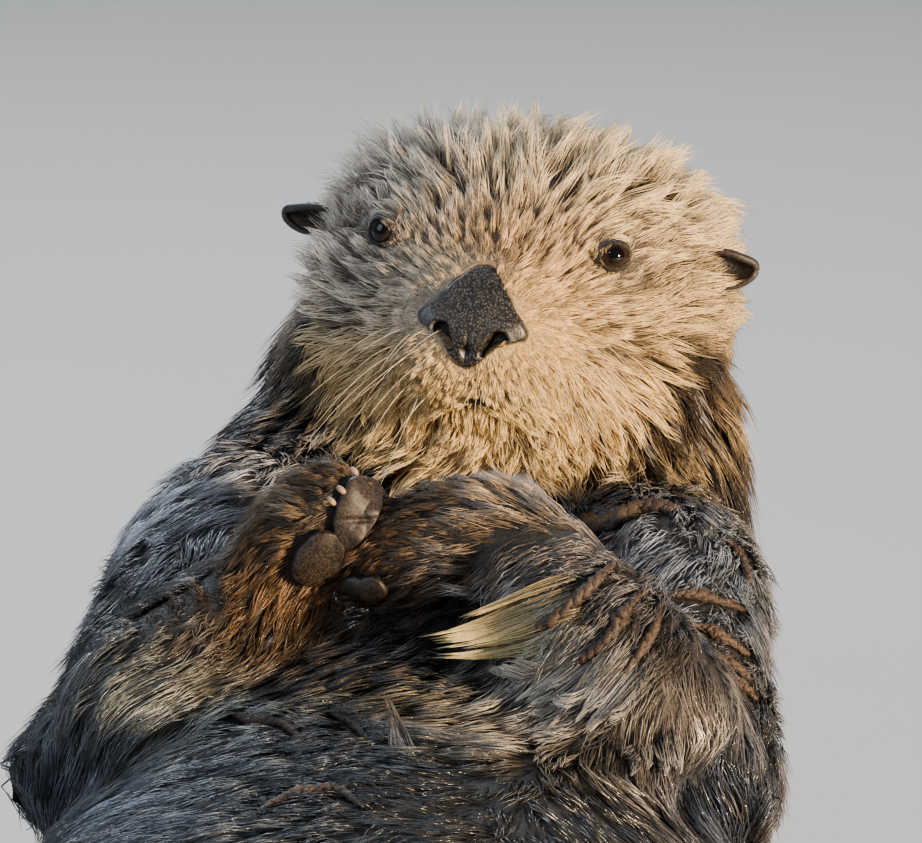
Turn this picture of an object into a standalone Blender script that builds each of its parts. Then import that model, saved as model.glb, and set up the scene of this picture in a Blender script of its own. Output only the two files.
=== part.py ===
"""A life-size sea otter lying on its back with its head raised and its forepaws held together on the chest.

The solids are the animal's outline out to the tips of its coat. Metres, +Z up. The otter faces -Y, its own left
is +X, and it lies on flats at Z = 0. Run with: blender --background --python part.py
"""

import math

import bmesh
import bpy
import numpy as np
from mathutils import Matrix, Vector

# Driving sizes of the animal.
HEAD_WIDTH = 0.162
HEAD_TURN = math.radians(-1.5)
HEAD_LIFT = math.radians(9.0)
HEAD_ROLL = math.radians(3.6)
HEAD_PLACE = Vector((0.0, 0.200, 0.331))
EYE_SPACING = 0.0795
EYE_HEIGHT = 0.0175
EYE_RADIUS = 0.0075
EAR_HEIGHT = 0.016
NOSE_WIDTH = 0.040
BELLY_WIDTH = 0.300
FOOT_LENGTH = 0.185
FOOT_WIDTH = 0.108
TAIL_WIDTH = 0.062

GAP = 0.0004
BODY_SIDES = 28
HEAD_SIDES = 30
LIMB_SIDES = 15
PAW_SIDES = 14
SMOOTH_ANGLE = math.radians(50)
LEFT, RIGHT = 1, -1
SIDE_NAMES = {LEFT: "left", RIGHT: "right"}

# Colour (linear RGB) and roughness of each part's finish.
FINISHES = {
    "pale_fur": ((0.52, 0.42, 0.29), 0.85),
    "dark_fur": ((0.050, 0.040, 0.034), 0.55),
    "brown_fur": ((0.120, 0.072, 0.040), 0.75),
    "web_skin": ((0.035, 0.029, 0.027), 0.50),
    "nose_skin": ((0.016, 0.015, 0.016), 0.45),
    "ear_skin": ((0.045, 0.034, 0.030), 0.60),
    "eye_ball": ((0.020, 0.010, 0.006), 0.08),
}


def finish(name):
    """The Principled material of that name, made once."""
    material = bpy.data.materials.get(name)
    if material is None:
        colour, roughness = FINISHES[name]
        material = bpy.data.materials.new(name)
        material.use_nodes = True
        shader = material.node_tree.nodes["Principled BSDF"]
        shader.inputs["Base Color"].default_value = (*colour, 1.0)
        shader.inputs["Roughness"].default_value = roughness
        shader.inputs["Metallic"].default_value = 0.0
        material.diffuse_color = (*colour, 1.0)
    return material


# Shape tools.


def eased(keys, steps):
    """Rows on a smooth curve through the key rows, with so many steps from one key to the next."""
    keys = np.array(keys, float)
    padded = np.vstack([2 * keys[0] - keys[1], keys, 2 * keys[-1] - keys[-2]])
    rows = []
    for i in range(1, len(padded) - 2):
        before, start, end, after = padded[i - 1 : i + 3]
        for t in np.arange(steps) / steps:
            rows.append(
                0.5
                * (
                    2 * start
                    + (end - before) * t
                    + (2 * before - 5 * start + 4 * end - after) * t**2
                    + (3 * start - before - 3 * end + after) * t**3
                )
            )
    rows.append(keys[-1])
    return np.array(rows)


def signed_power(value, power):
    return math.copysign(abs(value) ** power, value)


def ring(centre, side, up, half_width, above, below, count, squareness, under=None):
    """Points round one cross-section: a rounded oval with its own height above and below the centre.

    `under` is the squareness of the lower half, where it differs.
    """
    points = []
    for k in range(count):
        angle = 2 * math.pi * k / count
        upper = math.sin(angle) > 0
        power = 2 / (squareness if upper or under is None else under)
        across = half_width * signed_power(math.cos(angle), power)
        height = (above if upper else below) * signed_power(math.sin(angle), power)
        points.append(centre + side * across + up * height)
    return points


def banded(rings):
    """A bmesh with a band of faces between each ring and the next, and its rings of vertices."""
    shape = bmesh.new()
    loops = [[shape.verts.new(p) for p in points] for points in rings]
    for near, far in zip(loops, loops[1:]):
        for k in range(len(near)):
            j = (k + 1) % len(near)
            shape.faces.new((near[k], near[j], far[j], far[k]))
    return shape, loops


def finished(shape):
    """The shape in triangles that all face out, so that its neighbours can be cut to exactly the same faces."""
    bmesh.ops.triangulate(shape, faces=shape.faces)
    bmesh.ops.recalc_face_normals(shape, faces=shape.faces)
    return shape


def skinned(rings, caps):
    """A closed bmesh through the rings, with each end drawn to its cap point."""
    shape, loops = banded(rings)
    for loop, cap in ((loops[0], caps[0]), (loops[-1], caps[1])):
        tip = shape.verts.new(cap)
        for k in range(len(loop)):
            shape.faces.new((loop[k], loop[(k + 1) % len(loop)], tip))
    return finished(shape)


def loft(keys, steps, count, squareness=2.0, under=None, across=None, blunt=0.35):
    """A closed bmesh along a path. A key row is x, y, z, half width, height above and below.

    `across` is the rough direction of the width; without it the width lies level. `blunt` is how far the ends
    bulge, as a share of their height.
    """
    rows = eased(keys, steps)
    centres = [Vector(row[:3]) for row in rows]
    rings = []
    for i, row in enumerate(rows):
        along = (centres[min(i + 1, len(rows) - 1)] - centres[max(i - 1, 0)]).normalized()
        if across is None:
            side = along.cross(Vector((0, 0, 1))).normalized()
        else:
            side = (Vector(across) - along * along.dot(Vector(across))).normalized()
        up = side.cross(along).normalized()
        if up.z < 0:
            up.negate()
        rings.append(ring(centres[i], side, up, row[3], row[4], row[5], count, squareness, under))
    first = (centres[0] - centres[1]).normalized() * (rows[0][4] * blunt)
    last = (centres[-1] - centres[-2]).normalized() * (rows[-1][4] * blunt)
    return skinned(rings, (centres[0] + first, centres[-1] + last))


def trimmed(shape, point, normal):
    """The part of the shape behind a plane, with a flat face where the plane cut it."""
    kept = shape.copy()
    everything = kept.verts[:] + kept.edges[:] + kept.faces[:]
    bmesh.ops.bisect_plane(kept, geom=everything, plane_co=point, plane_no=normal, clear_outer=True)
    rim = [edge for edge in kept.edges if edge.is_boundary]
    bmesh.ops.holes_fill(kept, edges=rim, sides=0)
    bmesh.ops.recalc_face_normals(kept, faces=kept.faces)
    return kept


def swell(shape, centre, reach, push):
    """Pushes the surface near a point, less and less with distance."""
    for vert in shape.verts:
        distance = (vert.co - Vector(centre)).length
        vert.co += Vector(push) * math.exp(-((distance / reach) ** 2))


def mirrored(x, side):
    return (x[0] * side, *x[1:])


# Objects.


def node(name, shape, material, parent):
    """One named sub-part from a bmesh, in its parent's frame."""
    mesh = bpy.data.meshes.new(name)
    shape.to_mesh(mesh)
    shape.free()
    mesh.materials.append(finish(material))
    mesh.shade_smooth()
    mesh.set_sharp_from_angle(angle=SMOOTH_ANGLE)
    made = bpy.data.objects.new(name, mesh)
    bpy.context.scene.collection.objects.link(made)
    made.parent = parent
    return made


def cutter_of(source, clearance=GAP):
    """A hidden copy of a part, fatter by the clearance, that cuts room for it out of its neighbours."""
    made = source.copy()
    made.data = source.data.copy()
    made.name = source.name + "_room"
    made.modifiers.clear()
    shape = bmesh.new()
    shape.from_mesh(made.data)
    shape.normal_update()
    for vert in shape.verts:
        vert.co += vert.normal * clearance
    shape.to_mesh(made.data)
    shape.free()
    made.hide_render = True
    made.display_type = "WIRE"
    bpy.context.scene.collection.objects.link(made)
    return made


def make_room(part, *cutters):
    """Cuts the neighbours' room out of a part."""
    for cutter in cutters:
        cut = part.modifiers.new("room for " + cutter.name, "BOOLEAN")
        cut.operation = "DIFFERENCE"
        cut.solver = "EXACT"
        cut.object = cutter


def empty(name, place=(0, 0, 0), turn=None, parent=None):
    made = bpy.data.objects.new(name, None)
    made.location = place
    if turn is not None:
        made.rotation_euler = turn
    made.parent = parent
    bpy.context.scene.collection.objects.link(made)
    return made


# The trunk, neck and tail are one lofted shape along the spine, parted by thin cuts.
# Columns: x, y, z of the spine, half width, height towards the belly, height towards the back.
HALF_BELLY = BELLY_WIDTH / 2
HALF_TAIL = TAIL_WIDTH / 2
SPINE = [
    (0.030, -0.735, 0.0125, 0.35 * HALF_TAIL, 0.0095, 0.016),
    (0.022, -0.680, 0.0165, 0.66 * HALF_TAIL, 0.0145, 0.020),
    (0.010, -0.590, 0.0220, 0.92 * HALF_TAIL, 0.0200, 0.025),
    (0.002, -0.500, 0.0330, 1.15 * HALF_TAIL, 0.0270, 0.035),
    (0.000, -0.440, 0.0600, 0.45 * HALF_BELLY, 0.0480, 0.061),
    (0.000, -0.380, 0.0850, 0.70 * HALF_BELLY, 0.0780, 0.087),
    (0.000, -0.300, 0.1000, 0.89 * HALF_BELLY, 0.1060, 0.103),
    (0.000, -0.200, 0.1080, 1.00 * HALF_BELLY, 0.1200, 0.111),
    (0.000, -0.100, 0.1150, 0.99 * HALF_BELLY, 0.1260, 0.118),
    (-0.003, -0.010, 0.1310, 0.90 * HALF_BELLY, 0.1180, 0.126),
    (-0.006, 0.075, 0.1640, 0.78 * HALF_BELLY, 0.1060, 0.112),
    (-0.009, 0.145, 0.2080, 0.73 * HALF_BELLY, 0.0820, 0.096),
    (-0.009, 0.192, 0.2560, 0.66 * HALF_BELLY, 0.0560, 0.084),
    (-0.006, 0.212, 0.3050, 0.57 * HALF_BELLY, 0.0370, 0.069),
    (-0.002, 0.216, 0.3450, 0.42 * HALF_BELLY, 0.0320, 0.056),
]
SPINE_STEPS = 2
# Where the spine is parted, from tail to head: the point and the direction of the cut.
PARTINGS = [
    ((0.001, -0.470, 0.045), (0.0, 1.0, 0.22)),
    ((0.0, -0.325, 0.100), (0.0, 1.0, 0.08)),
    ((0.0, -0.060, 0.120), (0.0, 1.0, 0.16)),
    ((0.0, 0.150, 0.212), (0.0, 0.76, 0.65)),
]
TRUNK_PARTS = [
    ("tail", "dark_fur"),
    ("rump", "dark_fur"),
    ("belly", "dark_fur"),
    ("chest", "dark_fur"),
    ("neck", "brown_fur"),
]


def spine_shape():
    shape = loft(SPINE, SPINE_STEPS, BODY_SIDES, squareness=2.25, across=(1, 0, 0))
    return trimmed(shape, (0, 0, 0), (0, 0, -1))


def trunk(otter):
    """The parts along the spine, and the cutter that the limbs are cut back with."""
    whole = spine_shape()
    parts = {}
    for i, (name, material) in enumerate(TRUNK_PARTS):
        piece = whole
        if i < len(PARTINGS):
            point, direction = (Vector(v) for v in PARTINGS[i])
            direction.normalize()
            piece = trimmed(piece, point - direction * GAP / 2, direction)
        if i > 0:
            point, direction = (Vector(v) for v in PARTINGS[i - 1])
            direction.normalize()
            piece = trimmed(piece, point + direction * GAP / 2, -direction)
        parts[name] = node(name, piece, material, otter)
    whole_body = node("spine", whole, "dark_fur", otter)
    room = cutter_of(whole_body)
    bpy.data.objects.remove(whole_body)
    return parts, room


# The head, in its own frame: X across, -Y towards the nose, Z up, from the head's middle.
# Columns: y, z of the widest level, half width, height above and below that level.
HALF_HEAD = HEAD_WIDTH / 2
HEAD_SECTIONS = [
    (0.0800, -0.001, 0.38 * HALF_HEAD, 0.032, 0.036),
    (0.0680, -0.001, 0.72 * HALF_HEAD, 0.051, 0.054),
    (0.0420, -0.003, 0.94 * HALF_HEAD, 0.065, 0.064),
    (0.0120, -0.005, 1.00 * HALF_HEAD, 0.068, 0.067),
    (-0.0100, -0.008, 0.99 * HALF_HEAD, 0.068, 0.066),
    (-0.0240, -0.010, 0.95 * HALF_HEAD, 0.062, 0.064),
    (-0.0360, -0.012, 0.87 * HALF_HEAD, 0.053, 0.061),
    (-0.0470, -0.014, 0.74 * HALF_HEAD, 0.0425, 0.056),
    (-0.0570, -0.0155, 0.57 * HALF_HEAD, 0.0355, 0.047),
    (-0.0650, -0.017, 0.42 * HALF_HEAD, 0.030, 0.035),
    (-0.0710, -0.018, 0.27 * HALF_HEAD, 0.022, 0.022),
    (-0.0735, -0.018, 0.14 * HALF_HEAD, 0.012, 0.011),
]
# The nose pad, from its top to its lower point: z, half width, y of the front and of the back.
HALF_NOSE = NOSE_WIDTH / 2
NOSE_SECTIONS = [
    (0.0135, 0.22 * HALF_NOSE, -0.0680, -0.050),
    (0.0100, 0.44 * HALF_NOSE, -0.0725, -0.051),
    (0.0045, 0.68 * HALF_NOSE, -0.0765, -0.052),
    (-0.0020, 0.92 * HALF_NOSE, -0.0795, -0.053),
    (-0.0080, 1.00 * HALF_NOSE, -0.0810, -0.054),
    (-0.0135, 0.80 * HALF_NOSE, -0.0808, -0.056),
    (-0.0190, 0.44 * HALF_NOSE, -0.0790, -0.058),
    (-0.0230, 0.18 * HALF_NOSE, -0.0765, -0.060),
]
EYE_DEPTH = 0.0470
EAR_ROOT = (0.062, 0.004, EAR_HEIGHT - 0.004)
EAR_TIP = (0.0890, 0.003, EAR_HEIGHT)
# Along the ear: the share of its length, half height and half thickness.
EAR_WIDTHS = [(0.0, 0.0095, 0.0060), (0.5, 0.0110, 0.0062), (0.82, 0.0085, 0.0048), (1.0, 0.0040, 0.0026)]


def head_shape():
    keys = [(0.0, y, z, width, above, below) for y, z, width, above, below in HEAD_SECTIONS]
    shape = loft(keys, 2, HEAD_SIDES, squareness=2.3, under=2.0, across=(1, 0, 0), blunt=0.15)
    for side in (LEFT, RIGHT):
        # The whisker pads swell beside the nose, the cheeks fill out, and the brow dips at each eye.
        swell(shape, (side * 0.021, -0.066, -0.028), 0.016, (side * 0.0040, -0.005, -0.001))
        swell(shape, (side * 0.068, -0.020, -0.028), 0.030, (side * 0.0020, -0.002, -0.001))
        swell(shape, (side * 0.040, -0.048, 0.016), 0.012, (-side * 0.0015, 0.0015, 0))
    return shape


def nose_shape():
    rings = []
    rows = eased(NOSE_SECTIONS, 1)
    for z, half_width, front, back in rows:
        middle = Vector((0, (front + back) / 2, z))
        depth = (back - front) / 2
        rings.append(ring(middle, Vector((1, 0, 0)), Vector((0, 1, 0)), half_width, depth, depth, PAW_SIDES, 2.3))
    top = Vector((0, (rows[0][2] + rows[0][3]) / 2, rows[0][0] + 0.0015))
    point = Vector((0, (rows[-1][2] + rows[-1][3]) / 2, rows[-1][0] - 0.0015))
    return skinned(rings, (top, point))


def ear_shape(side):
    """A small thick leaf, rounded at its tip."""
    root, tip = Vector(mirrored(EAR_ROOT, side)), Vector(mirrored(EAR_TIP, side))
    keys = []
    for share, height, thickness in EAR_WIDTHS:
        keys.append((*root.lerp(tip, share), height, thickness, thickness))
    return loft(keys, 1, PAW_SIDES, squareness=2.0, across=(0, 0.25, 1), blunt=0.3)


def ball(centre, radius):
    shape = bmesh.new()
    bmesh.ops.create_uvsphere(shape, u_segments=12, v_segments=8, radius=radius)
    bmesh.ops.rotate(shape, verts=shape.verts, matrix=Matrix.Rotation(math.pi / 2, 3, "X"))
    bmesh.ops.translate(shape, verts=shape.verts, vec=centre)
    return shape


def head(otter):
    """The head with its nose pad, eyes and ears, all in the head's own tilted frame."""
    pose = empty("head_pose", HEAD_PLACE, (-HEAD_LIFT, HEAD_ROLL, HEAD_TURN), otter)
    skull = node("head", head_shape(), "pale_fur", pose)
    nose = node("nose", nose_shape(), "nose_skin", pose)
    make_room(skull, cutter_of(nose))
    head_room = cutter_of(skull)
    for side in (LEFT, RIGHT):
        centre = (side * EYE_SPACING / 2, -EYE_DEPTH, EYE_HEIGHT)
        eye = node("eye_" + SIDE_NAMES[side], ball(centre, EYE_RADIUS), "eye_ball", pose)
        make_room(skull, cutter_of(eye))
        ear = node("ear_" + SIDE_NAMES[side], ear_shape(side), "ear_skin", pose)
        make_room(ear, head_room)
    return head_room


# Limbs. Columns as for the spine, each from the body outwards.
LEFT_UPPER_ARM = [
    (0.050, 0.160, 0.240, 0.035, 0.035, 0.038),
    (0.068, 0.105, 0.243, 0.041, 0.041, 0.043),
    (0.075, 0.055, 0.233, 0.041, 0.040, 0.046),
    (0.086, 0.010, 0.213, 0.042, 0.037, 0.046),
    (0.095, -0.022, 0.199, 0.037, 0.031, 0.037),
]
RIGHT_UPPER_ARM = [
    (-0.070, 0.190, 0.267, 0.040, 0.032, 0.034),
    (-0.079, 0.152, 0.251, 0.042, 0.037, 0.038),
    (-0.086, 0.105, 0.248, 0.043, 0.042, 0.043),
    (-0.089, 0.055, 0.236, 0.042, 0.041, 0.046),
    (-0.095, 0.012, 0.216, 0.041, 0.038, 0.047),
    (-0.113, -0.027, 0.192, 0.042, 0.034, 0.037),
]
LEFT_FOREARM = [
    (0.098, -0.024, 0.220, 0.026, 0.026, 0.034),
    (0.085, -0.022, 0.236, 0.031, 0.033, 0.045),
    (0.066, -0.012, 0.256, 0.030, 0.033, 0.042),
    (0.046, 0.002, 0.273, 0.026, 0.028, 0.031),
    (0.030, 0.012, 0.282, 0.023, 0.024, 0.024),
]
RIGHT_FOREARM = [
    (-0.104, -0.032, 0.216, 0.024, 0.025, 0.031),
    (-0.096, -0.025, 0.227, 0.029, 0.031, 0.040),
    (-0.083, -0.008, 0.240, 0.028, 0.030, 0.036),
    (-0.070, 0.008, 0.253, 0.024, 0.025, 0.026),
    (-0.061, 0.014, 0.263, 0.021, 0.021, 0.021),
]
LEFT_PAW = [
    (0.036, 0.014, 0.286, 0.0200, 0.0210, 0.020),
    (0.017, 0.015, 0.288, 0.0215, 0.0235, 0.022),
    (-0.001, 0.013, 0.283, 0.0205, 0.0225, 0.021),
    (-0.015, 0.009, 0.275, 0.0165, 0.0175, 0.017),
    (-0.024, 0.006, 0.268, 0.0090, 0.0100, 0.010),
]
RIGHT_PAW = [
    (-0.064, 0.016, 0.258, 0.0190, 0.0190, 0.019),
    (-0.054, 0.016, 0.271, 0.0205, 0.0210, 0.021),
    (-0.044, 0.013, 0.286, 0.0205, 0.0215, 0.021),
    (-0.032, 0.009, 0.300, 0.0170, 0.0180, 0.017),
    (-0.024, 0.005, 0.308, 0.0095, 0.0100, 0.010),
]
ARMS = [
    (LEFT, LEFT_UPPER_ARM, LEFT_FOREARM, LEFT_PAW),
    (RIGHT, RIGHT_UPPER_ARM, RIGHT_FOREARM, RIGHT_PAW),
]
LIMB_STEPS = 2
THIGH = [
    (0.050, -0.330, 0.108, 0.070, 0.072, 0.075),
    (0.078, -0.385, 0.098, 0.062, 0.062, 0.078),
    (0.098, -0.435, 0.076, 0.047, 0.046, 0.074),
    (0.105, -0.480, 0.050, 0.033, 0.032, 0.054),
    (0.106, -0.512, 0.033, 0.024, 0.022, 0.038),
]
ANKLE = Vector((0.106, -0.516, 0.026))
FOOT_RISE = math.radians(47)
FOOT_SPLAY = math.radians(16)
FOOT_CANT = math.radians(20)
TOES = 5


def arms(otter, rooms):
    """Both arms. Each piece is cut back to the trunk, the head and the pieces before it."""
    for side, arm_keys, forearm_keys, paw_keys in ARMS:
        label = SIDE_NAMES[side]
        upper = loft(arm_keys, LIMB_STEPS, LIMB_SIDES, squareness=2.1)
        lower = loft(forearm_keys, LIMB_STEPS, LIMB_SIDES, squareness=2.1, across=(0, 1, 0.1))
        palm = loft(paw_keys, LIMB_STEPS, PAW_SIDES, squareness=2.3, across=(0, 1, 0.1), blunt=0.45)
        for name, shape, material in (
            ("upper_arm_", upper, "dark_fur"),
            ("forearm_", lower, "dark_fur"),
            ("forepaw_", palm, "brown_fur"),
        ):
            piece = node(name + label, shape, material, otter)
            make_room(piece, *rooms)
            rooms = rooms + [cutter_of(piece)]


def foot_shape(side):
    """A webbed hind flipper: wide, thin, ridged over its toes, with the outer toe longest."""
    outward = Vector((side * math.sin(FOOT_SPLAY), -math.cos(FOOT_SPLAY), 0))
    along = outward * math.cos(FOOT_RISE) + Vector((0, 0, math.sin(FOOT_RISE)))
    level = Vector((side * math.cos(FOOT_SPLAY), math.sin(FOOT_SPLAY), 0))
    face = level.cross(along) * side
    across = (level * math.cos(FOOT_CANT) + face * math.sin(FOOT_CANT)).normalized()
    normal = across.cross(along).normalized()
    heel = Vector(mirrored(ANKLE, side))
    half_count = 3 * TOES + 1
    rings = []
    for share in (0.0, 0.15, 0.38, 0.62, 0.82, 0.95):
        widening = 0.42 + 0.58 * math.sin(min(1.0, share / 0.85) * math.pi / 2) ** 1.4
        thickness = 0.019 * (1 - share) ** 0.8 + 0.0044
        upper, lower = [], []
        for k in range(half_count):
            u = -1 + 2 * k / (half_count - 1)
            toe = abs(math.sin(math.pi * k / 3))
            length = FOOT_LENGTH * (0.80 + 0.17 * u) * (1 - 0.11 * share**3 * (0.87 - toe))
            edge = math.sqrt(max(0.0, 1 - abs(u) ** 4))
            ridge = thickness * (0.35 + 0.65 * edge) * (0.70 + 0.34 * toe) / 2
            place = heel + along * (length * share) + across * (u * widening * FOOT_WIDTH / 2)
            upper.append(place + normal * ridge)
            lower.append(place - normal * ridge)
        rings.append(upper + lower[::-1])
    shape, loops = banded(rings)
    for loop in (loops[0], loops[-1]):
        for k in range(half_count - 1):
            shape.faces.new((loop[k], loop[k + 1], loop[-2 - k], loop[-1 - k]))
    return finished(shape)


def legs(otter, body_room):
    for side in (LEFT, RIGHT):
        label = SIDE_NAMES[side]
        limb = loft([mirrored(key, side) for key in THIGH], LIMB_STEPS, LIMB_SIDES, squareness=2.1)
        thigh = node("hind_leg_" + label, trimmed(limb, (0, 0, 0), (0, 0, -1)), "dark_fur", otter)
        make_room(thigh, body_room)
        foot = node("hind_foot_" + label, trimmed(foot_shape(side), (0, 0, 0), (0, 0, -1)), "web_skin", otter)
        make_room(foot, cutter_of(thigh))


def centre_on_base(otter):
    """Moves the whole animal so that the origin is the middle of its base."""
    bpy.context.view_layer.update()
    graph = bpy.context.evaluated_depsgraph_get()
    corners = []
    for made in bpy.context.scene.objects:
        if made.type == "MESH" and not made.hide_render:
            evaluated = made.evaluated_get(graph)
            corners += [made.matrix_world @ Vector(v.co) for v in evaluated.data.vertices]
    points = np.array(corners)
    middle = (points.min(axis=0) + points.max(axis=0)) / 2
    otter.location = (-middle[0], -middle[1], 0.0)


def main():
    for old in list(bpy.data.objects):
        bpy.data.objects.remove(old)
    otter = empty("otter")
    parts, body_room = trunk(otter)
    head_room = head(otter)
    make_room(parts["neck"], head_room)
    make_room(parts["chest"], head_room)
    arms(otter, [body_room, head_room])
    legs(otter, body_room)
    centre_on_base(otter)


main()
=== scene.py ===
"""A life-size sea otter lying on its back: its skin, coat, face, pads and claws, and the studio round it.

Metres, +Z up. The otter faces -Y and its own left is +X. Lengths in the head's own frame are in millimetres.
"""

import math

import bmesh
import bpy
import numpy as np
from mathutils import Euler, Matrix, Vector
from mathutils.bvhtree import BVHTree
from mathutils.kdtree import KDTree


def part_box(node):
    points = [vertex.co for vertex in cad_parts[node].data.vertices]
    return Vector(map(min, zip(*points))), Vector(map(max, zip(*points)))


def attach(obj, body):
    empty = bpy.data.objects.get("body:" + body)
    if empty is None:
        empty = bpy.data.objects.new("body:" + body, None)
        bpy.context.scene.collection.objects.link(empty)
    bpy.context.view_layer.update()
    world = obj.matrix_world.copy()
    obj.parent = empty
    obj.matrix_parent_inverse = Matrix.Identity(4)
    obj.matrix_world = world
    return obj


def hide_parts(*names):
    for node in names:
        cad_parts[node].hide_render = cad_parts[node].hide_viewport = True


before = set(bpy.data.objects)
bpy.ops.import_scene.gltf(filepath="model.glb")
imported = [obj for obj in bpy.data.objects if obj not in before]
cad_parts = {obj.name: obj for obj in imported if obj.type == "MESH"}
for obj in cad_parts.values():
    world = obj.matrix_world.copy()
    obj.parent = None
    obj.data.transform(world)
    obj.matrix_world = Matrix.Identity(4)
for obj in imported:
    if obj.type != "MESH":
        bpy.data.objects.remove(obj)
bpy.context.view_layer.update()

MM = 0.001
LEFT, RIGHT = 1, -1
SIDE_NAMES = {LEFT: "left", RIGHT: "right"}

# The head's own frame: x across, -y forward, z up, from the middle of the skull.
HEAD_PLACE = np.array((0.0, 0.4268, 0.331))
HEAD_TILT = Euler((math.radians(-9.0), math.radians(3.6), math.radians(-1.5)))
HEAD_AXES = np.array(HEAD_TILT.to_matrix())

EYE_PLACE = (39.75, -46.2, 19.4)
EYE_RADIUS = 7.4
EYE_OPENING = 4.8
NOSE_MIDDLE = (-2.0, -77.0, -4.8)
NOSE_ROLL = math.radians(4.5)

# The camera: its bearing, how far it stands from its aim, and how far the aim is left of and below the head.
VIEW_TURN = math.radians(10)
VIEW_DIP = math.radians(14)
VIEW_DISTANCE = 3.689
VIEW_LEFT, VIEW_BELOW = 0.0209, 0.047
VIEW_MIDDLE = (0.0, 0.4268, 0.33)
LENS = 400

# Seeds of what is random.
SEEDS = {
    "head_underfur": 11, "face_fur": 12, "nape_fur": 13, "head_fur": 14, "front_fur": 21, "back_fur": 22,
    "parting_fur": 23, "paw_fur": 24, "cords": 41, "fringes": 43, "ear_fur": 60, "ears": 61, "whiskers": 71,
}


def to_head(points):
    """World points in the head's own frame, in millimetres."""
    return (np.asarray(points) - HEAD_PLACE) @ HEAD_AXES / MM


def from_head(points):
    """Points of the head's own frame, in millimetres, as world points."""
    return np.asarray(points, float) @ HEAD_AXES.T * MM + HEAD_PLACE


def unit(vectors):
    """Vectors of length one."""
    length = np.linalg.norm(vectors, axis=-1, keepdims=True)
    return vectors / np.maximum(length, 1e-12)


def ramp(values, start, end):
    """0 before start, 1 after end, and a smooth rise between them."""
    t = np.clip((values - start) / (end - start), 0, 1)
    return t * t * (3 - 2 * t)


def near(points, centre, reach):
    """1 at the centre and a smooth fall to nothing beyond its reach. The reach may differ by axis."""
    gap = (points - np.array(centre)) / np.array(reach)
    return np.exp(-np.sum(gap * gap, axis=1))


def mottle(points, size, seed):
    """Smooth noise between about -1 and 1 with patches of that size."""
    chance = np.random.default_rng(seed)
    total = np.zeros(len(points))
    for _ in range(9):
        wave = chance.normal(size=3) * 2.2 / size
        total += np.sin(points @ wave + chance.uniform(0, 2 * math.pi))
    return total / 3.0


# Camera, light and floor.


def view_axes():
    """The camera's right, up and forward directions."""
    turn, dip = VIEW_TURN, VIEW_DIP
    right = Vector((math.cos(turn), math.sin(turn), 0))
    ahead = Vector((-math.sin(turn) * math.cos(dip), math.cos(turn) * math.cos(dip), -math.sin(dip)))
    return right, right.cross(ahead), ahead


RIGHTWARD, UPWARD, AHEAD = (np.array(axis) for axis in view_axes())


def add_camera():
    """A long lens that looks down a little at the raised head."""
    right, up, ahead = view_axes()
    data = bpy.data.cameras.new("portrait_camera")
    data.lens = LENS
    data.sensor_width = 36
    data.clip_end = 200
    camera = bpy.data.objects.new("portrait_camera", data)
    bpy.context.collection.objects.link(camera)
    target = Vector(VIEW_MIDDLE) - right * VIEW_LEFT - up * VIEW_BELOW
    camera.location = target - ahead * VIEW_DISTANCE
    camera.rotation_euler = ahead.to_track_quat("-Z", "Y").to_euler()
    bpy.context.scene.camera = camera


def add_light(name, across, above, before, size, energy, colour):
    """A soft round lamp aimed at the chest, placed along the camera's own axes."""
    right, up, ahead = view_axes()
    aim = Vector((0, 0.35, 0.26))
    place = aim + right * across + up * above - ahead * before
    data = bpy.data.lights.new(name, "AREA")
    data.shape = "DISK"
    data.size = size
    data.energy = energy
    data.color = colour
    lamp = bpy.data.objects.new(name, data)
    bpy.context.collection.objects.link(lamp)
    lamp.location = place
    lamp.rotation_euler = (aim - place).to_track_quat("-Z", "Y").to_euler()


def add_studio():
    """A low warm lamp on the otter's left, cool soft light from its right and above, and a pale floor."""
    add_light("warm_key", 1.9, -0.10, 1.55, 0.34, 215, (1.0, 0.73, 0.44))
    add_light("cool_fill", -2.0, 0.9, 0.9, 1.5, 22, (0.70, 0.83, 1.0))
    add_light("high_soft", -0.3, 1.8, -1.1, 1.6, 44, (0.84, 0.92, 1.0))
    add_light("catch", -0.42, 0.80, 2.4, 0.12, 6, (1.0, 0.98, 0.95))
    world = bpy.data.worlds.new("studio")
    bpy.context.scene.world = world
    world.use_nodes = True
    back = world.node_tree.nodes["Background"]
    back.inputs["Color"].default_value = (0.80, 0.88, 1.0, 1)
    back.inputs["Strength"].default_value = 0.28
    bpy.ops.mesh.primitive_plane_add(size=60)
    floor = bpy.context.object
    floor.name = "floor"
    paint = Paint("floor_paint", roughness=0.8)
    paint.colour(paint.blend(paint.noise(3.0, 3), (0.56, 0.56, 0.55), (0.60, 0.60, 0.59)))
    paint.relief(paint.noise(240.0, 4), 0.05, 0.0005)
    floor.data.materials.append(paint.material)


# Materials.


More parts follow.
